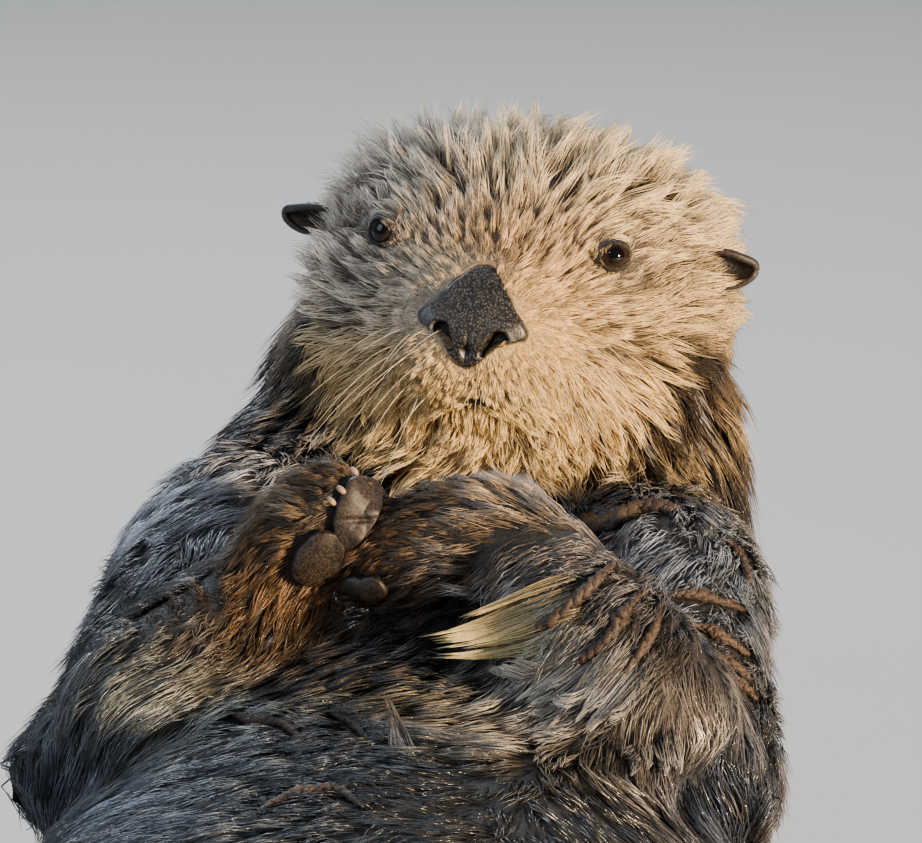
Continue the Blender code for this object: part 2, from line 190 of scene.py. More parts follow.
class Paint:
    """A Principled material built a node at a time."""

    def __init__(self, name, **sockets):
        self.material = bpy.data.materials.new(name)
        self.material.use_nodes = True
        self.tree = self.material.node_tree
        self.shader = self.tree.nodes["Principled BSDF"]
        for socket, value in sockets.items():
            self.shader.inputs[socket.replace("_", " ").title().replace("Ior", "IOR")].default_value = value

    def node(self, kind, **settings):
        made = self.tree.nodes.new("ShaderNode" + kind)
        for setting, value in settings.items():
            setattr(made, setting, value)
        return made

    def link(self, source, target):
        self.tree.links.new(source, target)

    def attribute(self, name, output="Color"):
        return self.node("Attribute", attribute_name=name).outputs[output]

    def noise(self, scale, detail):
        made = self.node("TexNoise")
        made.inputs["Scale"].default_value = scale
        made.inputs["Detail"].default_value = detail
        made.inputs["Roughness"].default_value = 0.55
        self.link(self.node("TexCoord").outputs["Object"], made.inputs["Vector"])
        return made.outputs["Fac"]

    def cells(self, scale):
        made = self.node("TexVoronoi")
        made.inputs["Scale"].default_value = scale
        self.link(self.node("TexCoord").outputs["Object"], made.inputs["Vector"])
        return made.outputs["Distance"]

    def steps(self, value, *stops):
        """A colour ramp through (place, colour) stops."""
        made = self.node("ValToRGB")
        band = made.color_ramp
        while len(band.elements) < len(stops):
            band.elements.new(0.5)
        for element, (place, colour) in zip(band.elements, stops):
            element.position = place
            element.color = (*colour, 1)
        self.link(value, made.inputs["Fac"])
        return made.outputs["Color"]

    def greys(self, value, *stops):
        """A ramp of greys through (place, level) stops."""
        return self.steps(value, *((place, (level, level, level)) for place, level in stops))

    def blend(self, factor, first, second, kind="MIX"):
        """Two colours mixed, each given as a value or as a node's output."""
        made = self.node("Mix", data_type="RGBA", blend_type=kind)
        for value, socket in ((factor, made.inputs[0]), (first, made.inputs[6]), (second, made.inputs[7])):
            if isinstance(value, bpy.types.NodeSocket):
                self.link(value, socket)
            elif isinstance(value, tuple):
                socket.default_value = (*value, 1)
            else:
                socket.default_value = value
        return made.outputs[2]

    def colour(self, value, *shades):
        """The surface's colour, multiplied by each of the shades."""
        for shade in shades:
            value = self.blend(1.0, value, shade, "MULTIPLY")
        self.link(value, self.shader.inputs["Base Color"])

    def relief(self, height, strength, distance, under=None):
        """Bumps on the surface, on top of those already made if `under` is given."""
        made = self.node("Bump")
        made.inputs["Strength"].default_value = strength
        made.inputs["Distance"].default_value = distance
        self.link(height, made.inputs["Height"])
        if under is not None:
            self.link(under, made.inputs["Normal"])
        self.link(made.outputs["Normal"], self.shader.inputs["Normal"])
        return made.outputs["Normal"]


def skin_paint():
    paint = Paint("otter_skin_and_underfur", roughness=0.62)
    fine = paint.noise(900.0, 3)
    shade = paint.greys(fine, (0.30, 0.45), (0.70, 1.25))
    patchy = paint.greys(paint.noise(120.0, 3), (0.30, 0.78), (0.70, 1.15))
    paint.colour(paint.attribute("skin_tone"), shade, patchy)
    paint.relief(fine, 0.7, 0.0012)
    return paint.material


def coat_paint(name, roughness, gloss, gloss_roughness):
    """The look of one kind of hair, glossier where it is wet."""
    paint = Paint(name, roughness=roughness, coat_weight=gloss, coat_roughness=gloss_roughness)
    paint.shader.inputs["Specular IOR Level"].default_value = 0.30 - 0.16 * gloss
    paint.colour(paint.attribute("fur_tone"), paint.greys(paint.noise(700.0, 2), (0.30, 0.80), (0.70, 1.16)))
    return paint.material


# Meshes.


def add_mesh(name, points, faces, material, layers=None, patches=None, replaced=()):
    """A named piece of triangles. `layers` are colours or values by point, `patches` an unwrap by corner."""
    data = bpy.data.meshes.new(name)
    points = np.asarray(points, np.float32)
    faces = np.asarray(faces, np.int32)
    data.vertices.add(len(points))
    data.vertices.foreach_set("co", points.ravel())
    data.loops.add(faces.size)
    data.loops.foreach_set("vertex_index", faces.ravel())
    data.polygons.add(len(faces))
    data.polygons.foreach_set("loop_start", np.arange(0, faces.size, 3, dtype=np.int32))
    data.polygons.foreach_set("loop_total", np.full(len(faces), 3, np.int32))
    data.update(calc_edges=True)
    data.validate()
    data.polygons.foreach_set("use_smooth", np.full(len(data.polygons), True))
    for layer, values in (layers or {}).items():
        values = np.asarray(values, np.float32)
        if values.ndim == 2:
            attribute = data.attributes.new(layer, "FLOAT_COLOR", "POINT")
            packed = np.ones((len(values), 4), np.float32)
            packed[:, :3] = values
            attribute.data.foreach_set("color", packed.ravel())
        else:
            attribute = data.attributes.new(layer, "FLOAT", "POINT")
            attribute.data.foreach_set("value", values)
    if patches is not None:
        data.uv_layers.new(name="OFBake").data.foreach_set("uv", np.asarray(patches, np.float32).ravel())
    data.materials.append(material)
    piece = bpy.data.objects.new(name, data)
    bpy.context.collection.objects.link(piece)
    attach(piece, "root")
    if replaced:
        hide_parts(*replaced)
    return piece


def arrays_of(data):
    """Points and triangles of a mesh."""
    data.calc_loop_triangles()
    points = np.empty(len(data.vertices) * 3, np.float32)
    data.vertices.foreach_get("co", points)
    faces = np.empty(len(data.loop_triangles) * 3, np.int32)
    data.loop_triangles.foreach_get("vertices", faces)
    return points.reshape(-1, 3).astype(float), faces.reshape(-1, 3)


def normals_of(points, faces):
    """Area-weighted point normals."""
    a, b, c = (points[faces[:, k]] for k in range(3))
    flat = np.cross(b - a, c - a)
    total = np.zeros_like(points)
    for k in range(3):
        for axis in range(3):
            total[:, axis] += np.bincount(faces[:, k], flat[:, axis], len(points))
    return unit(total)


def edges_of(faces):
    """The point pairs of the triangles' edges, each once."""
    pairs = np.vstack([faces[:, [0, 1]], faces[:, [1, 2]], faces[:, [2, 0]]])
    return np.unique(np.sort(pairs, axis=1), axis=0)


def band(a, b, spokes):
    """Triangles between two closed rings of points, numbered from a and from b."""
    k = np.arange(spokes)
    j = (k + 1) % spokes
    return [np.stack([a + k, b + k, b + j], axis=1), np.stack([a + k, b + j, a + j], axis=1)]


def capped(rings, spokes):
    """Triangles of a closed shape: one point, then so many rings of points, then one point."""
    k = np.arange(spokes)
    j = (k + 1) % spokes
    end = 1 + (rings - 1) * spokes
    faces = [np.stack([0 * k, 1 + k, 1 + j], axis=1)]
    for start in range(1, end, spokes):
        faces += band(start, start + spokes, spokes)
    faces.append(np.stack([end + k, 0 * k + end + spokes, end + j], axis=1))
    return np.vstack(faces)


def relaxed(values, edges, rounds, push=-0.52):
    """Values smoothed along the edges without shrinking them."""
    count = len(values)
    flat = values.reshape(count, -1).copy()
    degree = np.maximum(np.bincount(edges.ravel(), minlength=count), 1)[:, None]
    for step in range(rounds):
        total = np.empty_like(flat)
        for axis in range(flat.shape[1]):
            total[:, axis] = np.bincount(edges[:, 0], flat[edges[:, 1], axis], count)
            total[:, axis] += np.bincount(edges[:, 1], flat[edges[:, 0], axis], count)
        flat += (total / degree - flat) * (0.5 if step % 2 == 0 else push)
    return flat.reshape(values.shape)


# The coat by region. Each row: the way the hair lies, then the FIELDS below, which are the coat's depth, a
# lock's length and half width and a tuft's width (mm), how far locks turn from the lie (degrees), how far a
# lock gathers to its point, how its height rises along it, and where along it the root's colour gives way.
COAT = {
    "muzzle": (None, 3.4, 7.0, 1.0, 0.34, 13, 0.40, 0.9, 0.06),
    "face": (None, 5.0, 11.5, 1.6, 0.38, 18, 0.85, 0.9, 0.26),
    "crown": (None, 13.0, 24.0, 3.1, 0.44, 36, 0.97, 0.95, 0.46),
    "cheek": (None, 10.5, 22.0, 2.9, 0.42, 18, 0.95, 0.85, 0.40),
    "chin": (None, 9.5, 22.0, 2.0, 0.40, 13, 0.90, 0.8, 0.20),
    "nape": (None, 9.0, 26.0, 3.8, 0.90, 16, 0.90, 0.7, 0.40),
    "neck": ((0, -0.45, -0.90), 8.5, 46.0, 4.0, 0.75, 11, 0.92, 0.6, 0.42),
    "chest": ((0, -0.92, -0.40), 7.0, 36.0, 4.0, 0.8, 12, 0.88, 0.6, 0.42),
    "belly": ((0, -1.0, -0.05), 5.5, 44.0, 5.4, 0.75, 10, 0.86, 0.5, 0.42),
    "rump": ((0, -1.0, -0.10), 6.0, 44.0, 6.0, 1.6, 9, 0.86, 0.5, 0.42),
    "tail": ((0, -1.0, -0.02), 4.5, 28.0, 4.6, 1.4, 9, 0.86, 0.5, 0.42),
    "upper_arm_left": ((0.10, -0.92, -0.30), 7.0, 36.0, 4.2, 0.65, 12, 0.90, 0.6, 0.42),
    "upper_arm_right": ((-0.12, -0.90, -0.45), 7.5, 44.0, 4.2, 0.70, 9, 0.92, 0.6, 0.42),
    "forearm_left": ((-0.62, -0.30, -0.55), 6.0, 28.0, 3.8, 0.60, 14, 0.90, 0.7, 0.42),
    "forearm_right": ((-0.45, -0.35, -0.80), 6.0, 30.0, 3.6, 0.60, 12, 0.90, 0.7, 0.42),
    "forepaw_left": ((-0.90, -0.15, -0.25), 4.5, 10.5, 1.7, 0.40, 26, 0.95, 0.9, 0.42),
    "forepaw_right": ((-0.60, -0.20, -0.60), 5.0, 10.0, 1.4, 0.38, 22, 0.85, 0.9, 0.42),
    "hind_leg_left": ((0.35, -0.85, -0.35), 6.0, 34.0, 5.4, 1.4, 10, 0.86, 0.6, 0.42),
    "hind_leg_right": ((-0.35, -0.85, -0.35), 6.0, 34.0, 5.4, 1.4, 10, 0.86, 0.6, 0.42),
    "hind_foot_left": ((0.19, -0.66, 0.73), 0.9, 6.0, 1.7, 0.50, 10, 0.6, 0.6, 0.42),
    "hind_foot_right": ((-0.19, -0.66, 0.73), 0.9, 6.0, 1.7, 0.50, 10, 0.6, 0.6, 0.42),
}
REGIONS = tuple(COAT)
HEAD_REGIONS = 6
FLESH = ("head",) + REGIONS[HEAD_REGIONS:]
FEET = ("hind_foot_left", "hind_foot_right")
FIELDS = ("depth", "length", "bunch", "width", "turn", "gather", "rise", "fade")

# Root and tip colours of the hair (linear RGB), and the share of locks that are silvery.
TONES = {
    "muzzle": ((0.42, 0.28, 0.125), (0.94, 0.65, 0.29), 0.0),
    "face": ((0.20, 0.140, 0.085), (0.74, 0.55, 0.33), 0.0),
    "crown": ((0.040, 0.027, 0.019), (0.95, 0.79, 0.53), 0.0),
    "cheek": ((0.085, 0.060, 0.038), (0.80, 0.62, 0.38), 0.0),
    # The chin's roots are nearly as pale as its tips: partly its own colour, partly painted light filling the
    # shade between its locks.
    "chin": ((0.62, 0.46, 0.25), (0.95, 0.78, 0.46), 0.0),
    "nape": ((0.07, 0.052, 0.042), (0.36, 0.28, 0.19), 0.0),
    "neck": ((0.009, 0.006, 0.005), (0.046, 0.034, 0.025), 0.05),
    "chest": ((0.012, 0.009, 0.008), (0.050, 0.042, 0.037), 0.10),
    "belly": ((0.010, 0.009, 0.009), (0.040, 0.038, 0.038), 0.10),
    "rump": ((0.012, 0.010, 0.009), (0.042, 0.037, 0.035), 0.04),
    "tail": ((0.014, 0.011, 0.010), (0.042, 0.035, 0.031), 0.05),
    "upper_arm_left": ((0.014, 0.011, 0.010), (0.070, 0.060, 0.056), 0.16),
    "upper_arm_right": ((0.010, 0.009, 0.009), (0.062, 0.056, 0.056), 0.14),
    "forearm_left": ((0.028, 0.022, 0.018), (0.17, 0.145, 0.130), 0.20),
    "forearm_right": ((0.016, 0.013, 0.011), (0.085, 0.076, 0.070), 0.10),
    "forepaw_left": ((0.012, 0.006, 0.003), (0.082, 0.038, 0.012), 0.02),
    "forepaw_right": ((0.012, 0.007, 0.004), (0.15, 0.090, 0.044), 0.06),
    "hind_leg_left": ((0.012, 0.010, 0.009), (0.044, 0.039, 0.036), 0.04),
    "hind_leg_right": ((0.012, 0.010, 0.009), (0.044, 0.039, 0.036), 0.04),
    "hind_foot_left": ((0.020, 0.016, 0.014), (0.050, 0.040, 0.034), 0.0),
    "hind_foot_right": ((0.020, 0.016, 0.014), (0.050, 0.040, 0.034), 0.0),
}
SILVER = (0.19, 0.18, 0.18)

# Places on the body where the coat differs, some with painted sheen or painted light: middle and reach (m),
# the way the hair lies, the colours of root and tip, and how far the locks run together into one wet sheet.
PATCHES = {
    # Painted sheen: grey-blue tips stand in for the sky's reflection on the wet sheet.
    "left_shoulder_sheet": (
        (0.082, 0.288, 0.276), (0.032, 0.050, 0.040), (-0.12, -0.92, -0.30), (0.100, 0.116, 0.150),
        (0.280, 0.335, 0.450), 0.95,
    ),
    "left_wrist": (
        (0.036, 0.225, 0.300), (0.022, 0.030, 0.020), (-0.85, -0.15, 0.25), (0.050, 0.032, 0.020),
        (0.680, 0.500, 0.320), 0.0,
    ),
    "left_forearm_grey": (
        (0.052, 0.205, 0.284), (0.026, 0.030, 0.016), (-0.70, -0.30, -0.45), (0.026, 0.025, 0.026),
        (0.165, 0.165, 0.180), 0.4,
    ),
    # Partly pale grey fur, partly painted light: the hair is made paler where the forearm's bulge shades it.
    "left_inner_arm": (
        (0.050, 0.192, 0.256), (0.026, 0.030, 0.018), (-0.60, -0.30, -0.70), (0.24, 0.225, 0.205),
        (0.850, 0.800, 0.700), 0.7,
    ),
    "left_outer_arm": (
        (0.096, 0.200, 0.268), (0.022, 0.040, 0.018), (-0.10, -0.55, -0.80), (0.008, 0.006, 0.005),
        (0.040, 0.034, 0.032), 0.0,
    ),
    "left_elbow_tan": (
        (0.098, 0.180, 0.247), (0.018, 0.020, 0.010), (0.25, -0.30, -0.90), (0.26, 0.205, 0.155),
        (0.800, 0.700, 0.600), 0.7,
    ),
    # Painted sheen: blue tips stand in for the sky's reflection on the wet hair.
    "left_elbow_sheet": (
        (0.114, 0.200, 0.220), (0.026, 0.030, 0.020), (0.35, -0.30, -0.85), (0.024, 0.036, 0.064),
        (0.068, 0.100, 0.180), 0.95,
    ),
    # Painted sheen: pale blue-grey tips stand in for the sky's gloss on the wet shoulder.
    "right_shoulder": (
        (-0.095, 0.310, 0.285), (0.030, 0.040, 0.032), (-0.42, -0.80, -0.35), (0.050, 0.052, 0.062),
        (0.780, 0.800, 0.900), 0.60,
    ),
    "right_ropes": (
        (-0.100, 0.226, 0.266), (0.030, 0.034, 0.026), (-0.10, -0.72, -0.68), (0.002, 0.002, 0.003),
        (0.014, 0.015, 0.018), 0.10,
    ),
    "right_inner_arm": (
        (-0.070, 0.190, 0.246), (0.032, 0.022, 0.010), (-0.84, -0.20, -0.50), (0.120, 0.115, 0.090),
        (0.600, 0.630, 0.560), 0.8,
    ),
    "right_elbow": (
        (-0.128, 0.196, 0.218), (0.024, 0.034, 0.030), (-0.55, -0.35, -0.75), (0.022, 0.026, 0.034),
        (0.110, 0.125, 0.160), 0.8,
    ),
    "right_paw_top": (
        (-0.046, 0.223, 0.303), (0.020, 0.022, 0.015), (-0.78, -0.25, 0.45), (0.014, 0.009, 0.006),
        (0.230, 0.165, 0.105), 0.0,
    ),
    "right_paw_low": (
        (-0.045, 0.222, 0.268), (0.017, 0.022, 0.014), (-0.40, -0.30, -0.85), (0.045, 0.020, 0.007),
        (0.420, 0.230, 0.090), 0.0,
    ),
    "chest_hollow": (
        (-0.010, 0.222, 0.252), (0.036, 0.022, 0.014), (-0.50, -0.80, -0.20), (0.015, 0.012, 0.010),
        (0.050, 0.042, 0.036), 0.4,
    ),
    "chest_pale": (
        (0.004, 0.196, 0.244), (0.022, 0.014, 0.009), (-0.60, -0.75, -0.20), (0.030, 0.023, 0.010),
        (0.150, 0.125, 0.065), 0.4,
    ),
    # Painted reflection: blue-grey tips stand in for the sky reflected in the wet belly.
    "belly_right": (
        (-0.066, 0.100, 0.228), (0.062, 0.070, 0.040), (-0.93, -0.34, -0.10), (0.026, 0.030, 0.037),
        (0.190, 0.218, 0.268), 0.80,
    ),
    "belly_middle": (
        (0.015, 0.110, 0.240), (0.044, 0.060, 0.030), (-0.95, -0.28, 0.0), (0.002, 0.002, 0.003),
        (0.005, 0.005, 0.006), 0.2,
    ),
    "belly_left": (
        (0.095, 0.110, 0.222), (0.035, 0.065, 0.040), (0.72, -0.62, -0.20), (0.006, 0.006, 0.007),
        (0.040, 0.041, 0.046), 0.6,
    ),
}


def node_shape(name, swell=0.0):
    """A bmesh copy of a CAD node, its triangles joined, moved out by `swell`."""
    shape = bmesh.new()
    shape.from_mesh(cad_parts[name].data)
    bmesh.ops.remove_doubles(shape, verts=shape.verts, dist=0.00001)
    bmesh.ops.recalc_face_normals(shape, faces=shape.faces)
    shape.normal_update()
    for vertex in shape.verts:
        vertex.co += vertex.normal * swell
    return shape


def remeshed(shape, size):
    """The shape as one closed even skin of quads."""
    data = bpy.data.meshes.new("work")
    shape.to_mesh(data)
    holder = bpy.data.objects.new("work", data)
    bpy.context.collection.objects.link(holder)
    modifier = holder.modifiers.new("even", "REMESH")
    modifier.mode = "VOXEL"
    modifier.voxel_size = size
    bpy.context.view_layer.update()
    held = bpy.context.evaluated_depsgraph_get()
    result = bpy.data.meshes.new_from_object(holder.evaluated_get(held))
    bpy.data.objects.remove(holder)
    return result


def shares_of(points, shells):
    """How much each point belongs to each flesh node, by its distance from them."""
    gaps = np.full((len(points), len(FLESH)), 1.0)
    for column, name in enumerate(FLESH):
        low, high = (np.array(corner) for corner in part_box(name))
        inside = np.all((points > low - 0.03) & (points < high + 0.03), axis=1)
        find = shells[name].find_nearest
        gaps[inside, column] = [find(p)[3] for p in points[inside]]
    gaps -= gaps.min(axis=1, keepdims=True)
    weights = np.exp(-((gaps / 0.009) ** 2))
    return weights / weights.sum(axis=1, keepdims=True)


def head_shares(p):
    """How much each point of the head belongs to each part of the head's coat."""
    side = np.abs(p[:, 0])
    down, back = -p[:, 2], p[:, 1]
    eyes = np.stack([side, back, p[:, 2]], axis=1)
    rows = [
        2.2 * near(p, (0, -74, -14), (31, 27, 27)),
        1.1 * near(eyes, (37, -48, 16), (17, 18, 17)) + 0.9 * near(p, (0, -58, 26), (26, 24, 17)),
        1.2 * ramp(p[:, 2], 26, 52),
        0.10 + ramp(side, 30, 55) * ramp(down, -40, -5),
        1.3 * ramp(down, 34, 56) * ramp(-back, 0, 30),
        2.0 * ramp(back, 0, 35),
    ]
    weights = np.stack(rows, axis=1)
    return weights / weights.sum(axis=1, keepdims=True)


def on_head(weights):
    """How much each point belongs to the head."""
    return weights[:, :HEAD_REGIONS].sum(axis=1)


def head_lie(p):
    """The way the hair lies on the head: away from the nose all round, and down on the cheeks and chin."""
    lie = unit(p - np.array((0, -60, -9)))
    lie[:, 2] -= 0.35 * ramp(-p[:, 2], 5, 45)
    lie[:, 2] -= 0.8 * ramp(p[:, 1], 10, 50)
    return unit(lie) @ HEAD_AXES.T


def lie_of(points, weights):
    """The way the hair lies at each point, in world axes."""
    total = head_lie(to_head(points)) * on_head(weights)[:, None]
    for column, name in enumerate(REGIONS):
        if COAT[name][0] is not None:
            total += weights[:, column, None] * unit(np.array(COAT[name][0]))
    for middle, reach, lie, _, _, _ in PATCHES.values():
        share = (near(points, middle, reach) * (1 - on_head(weights)))[:, None]
        total = unit(total) * (1 - share) + unit(np.array(lie)) * share
    return unit(total)


def limited(tones):
    """Colours dimmed, where they are too bright for hair, without a change of hue."""
    return tones * np.minimum(1, 0.92 / np.maximum(tones.max(axis=-1, keepdims=True), 1e-6))


def mixed(base, colour, share):
    """Colours drawn towards one colour by a share at each point."""
    return base + (np.array(colour) - base) * np.clip(share, 0, 1)[:, None]


def markings_and_painted_light(points, weights):
    """Root and tip colours and the share of silvery locks at each point, for skin and coat alike, painted
    light included.
    """
    own = on_head(weights)
    head = ramp(own, 0.30, 0.60)
    weights = weights.copy()
    weights[:, :HEAD_REGIONS] *= (head / np.maximum(own, 1e-6))[:, None]
    weights[:, HEAD_REGIONS:] *= ((1 - head) / np.maximum(1 - own, 1e-6))[:, None]
    roots, tips, silver = (weights @ np.array([TONES[name][k] for name in REGIONS]) for k in range(3))
    p = to_head(points)
    side, front, up = p[:, 0], -p[:, 1], p[:, 2]
    # Painted shade: greyer, cooler hair on the otter's right, the side turned away from the warm lamp.
    cool = ramp(-side, -12, 42) * ramp(up, -45, 5)
    bridge = near(p, (13, -70, 13), (21, 22, 17)) + near(p, (-2, -64, 26), (14, 20, 14))
    # Painted shade: darker hair along the closed mouth's crease and in the groove under the nose.
    mouth = near(p, (-1, -70, -39), (9, 22, 4)) + 0.6 * near(p, (0, -78, -30), (4, 14, 6))
    # Painted shade: greyer hair on the right side of the muzzle, turned away from the warm lamp.
    snout = near(p, (-22, -66, -6), (13, 20, 18))
    # Painted shade: darker hair at the right temple, on the side turned away from the warm lamp.
    temple = near(p, (-52, -34, 22), (20, 30, 18))
    # Painted sunlight: warmer, golden hair on the lower left of the face, the side facing the warm lamp.
    gold = ramp(side, 20, 60) * ramp(-up, -40, 30)
    # Painted sunlight: brighter, warmer hair tips on the upper left of the face.
    sunlit = ramp(side, 5, 55) * ramp(up, 10, 45)
    # Partly the lower face's own pale gold, partly painted sunlight on the chin and lips.
    low = ramp(-up, 12, 34) * ramp(front, 0, 30)
    outline = np.hypot((side + 5) / 80, up / 81)
    throat = np.maximum(ramp(outline, 0.84, 0.94), ramp(-front, -8, 14)) * ramp(-up, 2, 16)
    lids = ramp(-past_eye(p), -3.2, -0.8)
    # Each: where, the tips' colour and how far it takes over, then the same of the roots.
    for share, tip, tip_share, root, root_share in (
        (cool, (0.58, 0.53, 0.48), 0.75, (0.070, 0.054, 0.043), 0.6),
        (bridge, (0.50, 0.32, 0.165), 0.55, (0.20, 0.11, 0.055), 0.6),
        (mouth, (0.24, 0.155, 0.080), 0.75, (0.05, 0.030, 0.016), 0.85),
        (snout, (0.60, 0.51, 0.39), 0.8, (0, 0, 0), 0),
        (temple, (0.20, 0.165, 0.135), 0.8, (0, 0, 0), 0),
        (gold, (0.90, 0.62, 0.28), 0.75, (0, 0, 0), 0),
        (sunlit, (1.0, 0.76, 0.42), 0.6, (0, 0, 0), 0),
        (low, (1.0, 0.75, 0.36), 0.95, (0.76, 0.54, 0.29), 0.85),
        (throat, (0.050, 0.035, 0.024), 1.0, (0.012, 0.008, 0.006), 1.0),
        (lids, (0.17, 0.115, 0.075), 0.85, (0.03, 0.02, 0.013), 0.85),
    ):
        tips = mixed(tips, tip, tip_share * head * share)
        roots = mixed(roots, root, root_share * head * share)
    silver = silver + 0.09 * head * throat
    for middle, reach, _, root, tip, _ in PATCHES.values():
        share = near(points, middle, reach) ** 0.7 * (1 - head)
        roots, tips = mixed(roots, root, share), mixed(tips, tip, share)
        silver = silver * (1 - 0.85 * share)
    return roots, tips, silver


# The skin.


class Skin:
    """The animal's own surface, with what the coat needs to know at each of its points."""

    def __init__(self, points, ground, faces, layers):
        self.points = points
        self.ground = ground
        self.faces = faces
        self.normals = normals_of(ground, faces)
        self.layers = layers
        self.corners = None
        self.partings = None
        self.tree = BVHTree.FromPolygons(ground.tolist(), faces.tolist())

    def mix(self, values, face, share):
        """A value of the skin's points at places inside its faces."""
        picked = values[self.faces[face]]
        return np.einsum("ij,ij...->i...", share, picked)

    def nearest(self, places):
        """The nearest places on the skin: face and share of its corners."""
        find = self.tree.find_nearest
        found = [find(p) for p in places]
        spot = np.array([hit[0] for hit in found])
        face = np.array([hit[2] for hit in found])
        a, b, c = (self.ground[self.faces[face, k]] for k in range(3))
        ab, ac, ap = b - a, c - a, spot - a
        d00, d01, d11 = (np.sum(x * y, axis=1) for x, y in ((ab, ab), (ab, ac), (ac, ac)))
        d20, d21 = (np.sum(x * y, axis=1) for x, y in ((ap, ab), (ap, ac)))
        scale = np.maximum(d00 * d11 - d01 * d01, 1e-20)
        v = (d11 * d20 - d01 * d21) / scale
        w = (d00 * d21 - d01 * d20) / scale
        share = np.clip(np.stack([1 - v - w, v, w], axis=1), 0, 1)
        return face, share / share.sum(axis=1, keepdims=True)


def outer_shell():
    """One closed even surface round all the nodes of flesh, finest on the face and round the eyes."""
    whole = bmesh.new()
    for name in FLESH + ("nose", "eye_left", "eye_right"):
        part = bpy.data.meshes.new("part")
        node_shape(name, 0.0024 if name in FEET else 0.0006).to_mesh(part)
        whole.from_mesh(part)
    shape = bmesh.new()
    shape.from_mesh(remeshed(whole, 0.0045))
    eyes = [eye_middle(side) for side in (LEFT, RIGHT)]
    for zone in range(3):
        faces = list(shape.faces)
        middles = np.array([face.calc_center_median() for face in faces])
        p = to_head(middles)
        if zone == 0:
            chosen = (np.linalg.norm(p, axis=1) < 100) & (p[:, 1] < 12) & (p[:, 2] > -74)
            for name in FEET:
                low, high = (np.array(corner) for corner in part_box(name))
                chosen |= np.all((middles > low - 0.003) & (middles < high + 0.003), axis=1)
        elif zone == 1:
            chosen = (p[:, 1] < -26) & (np.abs(p[:, 0]) < 54) & (np.abs(p[:, 2] + 6) < 50)
        else:
            chosen = np.minimum(*(np.linalg.norm(p - eye, axis=1) for eye in eyes)) < 13
        picked = [face for face, flag in zip(faces, chosen) if flag]
        edges = list({edge for face in picked for edge in face.edges})
        bmesh.ops.subdivide_edges(shape, edges=edges, cuts=1, use_grid_fill=True)
    bmesh.ops.triangulate(shape, faces=shape.faces)
    data = bpy.data.meshes.new("shell")
    shape.to_mesh(data)
    return arrays_of(data)


def eye_middle(side):
    """An eyeball's middle in the head's frame."""
    return np.array((side * EYE_PLACE[0], EYE_PLACE[1], EYE_PLACE[2]))


def eye_frame(side):
    """An eyeball's middle, and its forward, right and up directions, in the head's frame."""
    gaze = unit(np.array((side * 0.46, -0.87, 0.10)))
    across = unit(np.cross(gaze, (0, 0, 1)))
    return eye_middle(side), gaze, across, np.cross(across, gaze)


def seen_from_eye(p, side):
    """How far points of the head are in front of an eyeball's middle, and right and up of its axis."""
    centre, gaze, across, upward = eye_frame(side)
    local = p - centre
    return local @ gaze, local @ across, local @ upward


def past_eye(p):
    """How far each point of the head is outside the edge of the nearer eye's opening."""
    gaps = []
    for side in (LEFT, RIGHT):
        depth, right, up = seen_from_eye(p, side)
        behind = np.maximum(-depth - 3, 0)
        gaps.append(np.where(p[:, 1] < -5, np.hypot(right, up) - EYE_OPENING + behind, 99.0))
    return np.minimum(*gaps)


def past_nose(p):
    """How far each point of the head is outside the nose pad's outline."""
    across, up, front = nose_view(p)
    reach = nose_reach(across, up)
    gap = np.hypot(across, up) * (1 - 1 / np.maximum(reach, 0.01))
    return np.where(front > -70, gap + np.maximum(-front - 9, 0), 99.0)


def eye_bulged(p, side):
    """The skin drawn over one eyeball, on points of the head's frame."""
    _, gaze, _, _ = eye_frame(side)
    depth, right, up = seen_from_eye(p, side)
    radius = np.hypot(right, up)
    ball = np.sqrt(np.maximum((EYE_RADIUS + 0.65) ** 2 - radius**2, 9.0))
    edge = np.where(ball > depth, EYE_OPENING + 8.0, EYE_OPENING + 3.0)
    share = np.where(depth > -12, 1 - ramp(radius, EYE_OPENING + 0.8, edge), 0)
    return p + ((ball - depth) * share)[:, None] * gaze


def eye_opened(p, side):
    """The lids' rolled edges and the skin's opening over one eyeball, on points of the head's frame."""
    centre, gaze, across, upward = eye_frame(side)
    depth, right, up = seen_from_eye(p, side)
    radius = np.hypot(right, up)
    front = (depth > -9) & (radius < 26)
    angle = np.arctan2(up, right)
    opening = EYE_OPENING * (0.99 + 0.11 * np.cos(2 * angle) - 0.07 * np.sin(angle))
    depth = depth + 0.40 * np.exp(-(((radius - opening - 0.8) / 0.6) ** 2))
    snap = front & (np.abs(radius - opening) < 0.3)
    scale = np.where(snap, opening / np.maximum(radius, 0.1), 1.0)
    depth = np.where(radius < opening - 0.29, EYE_RADIUS - 4.5, depth)
    moved = centre + depth[:, None] * gaze + (right * scale)[:, None] * across
    moved = moved + (up * scale)[:, None] * upward
    return np.where(front[:, None], moved, p)


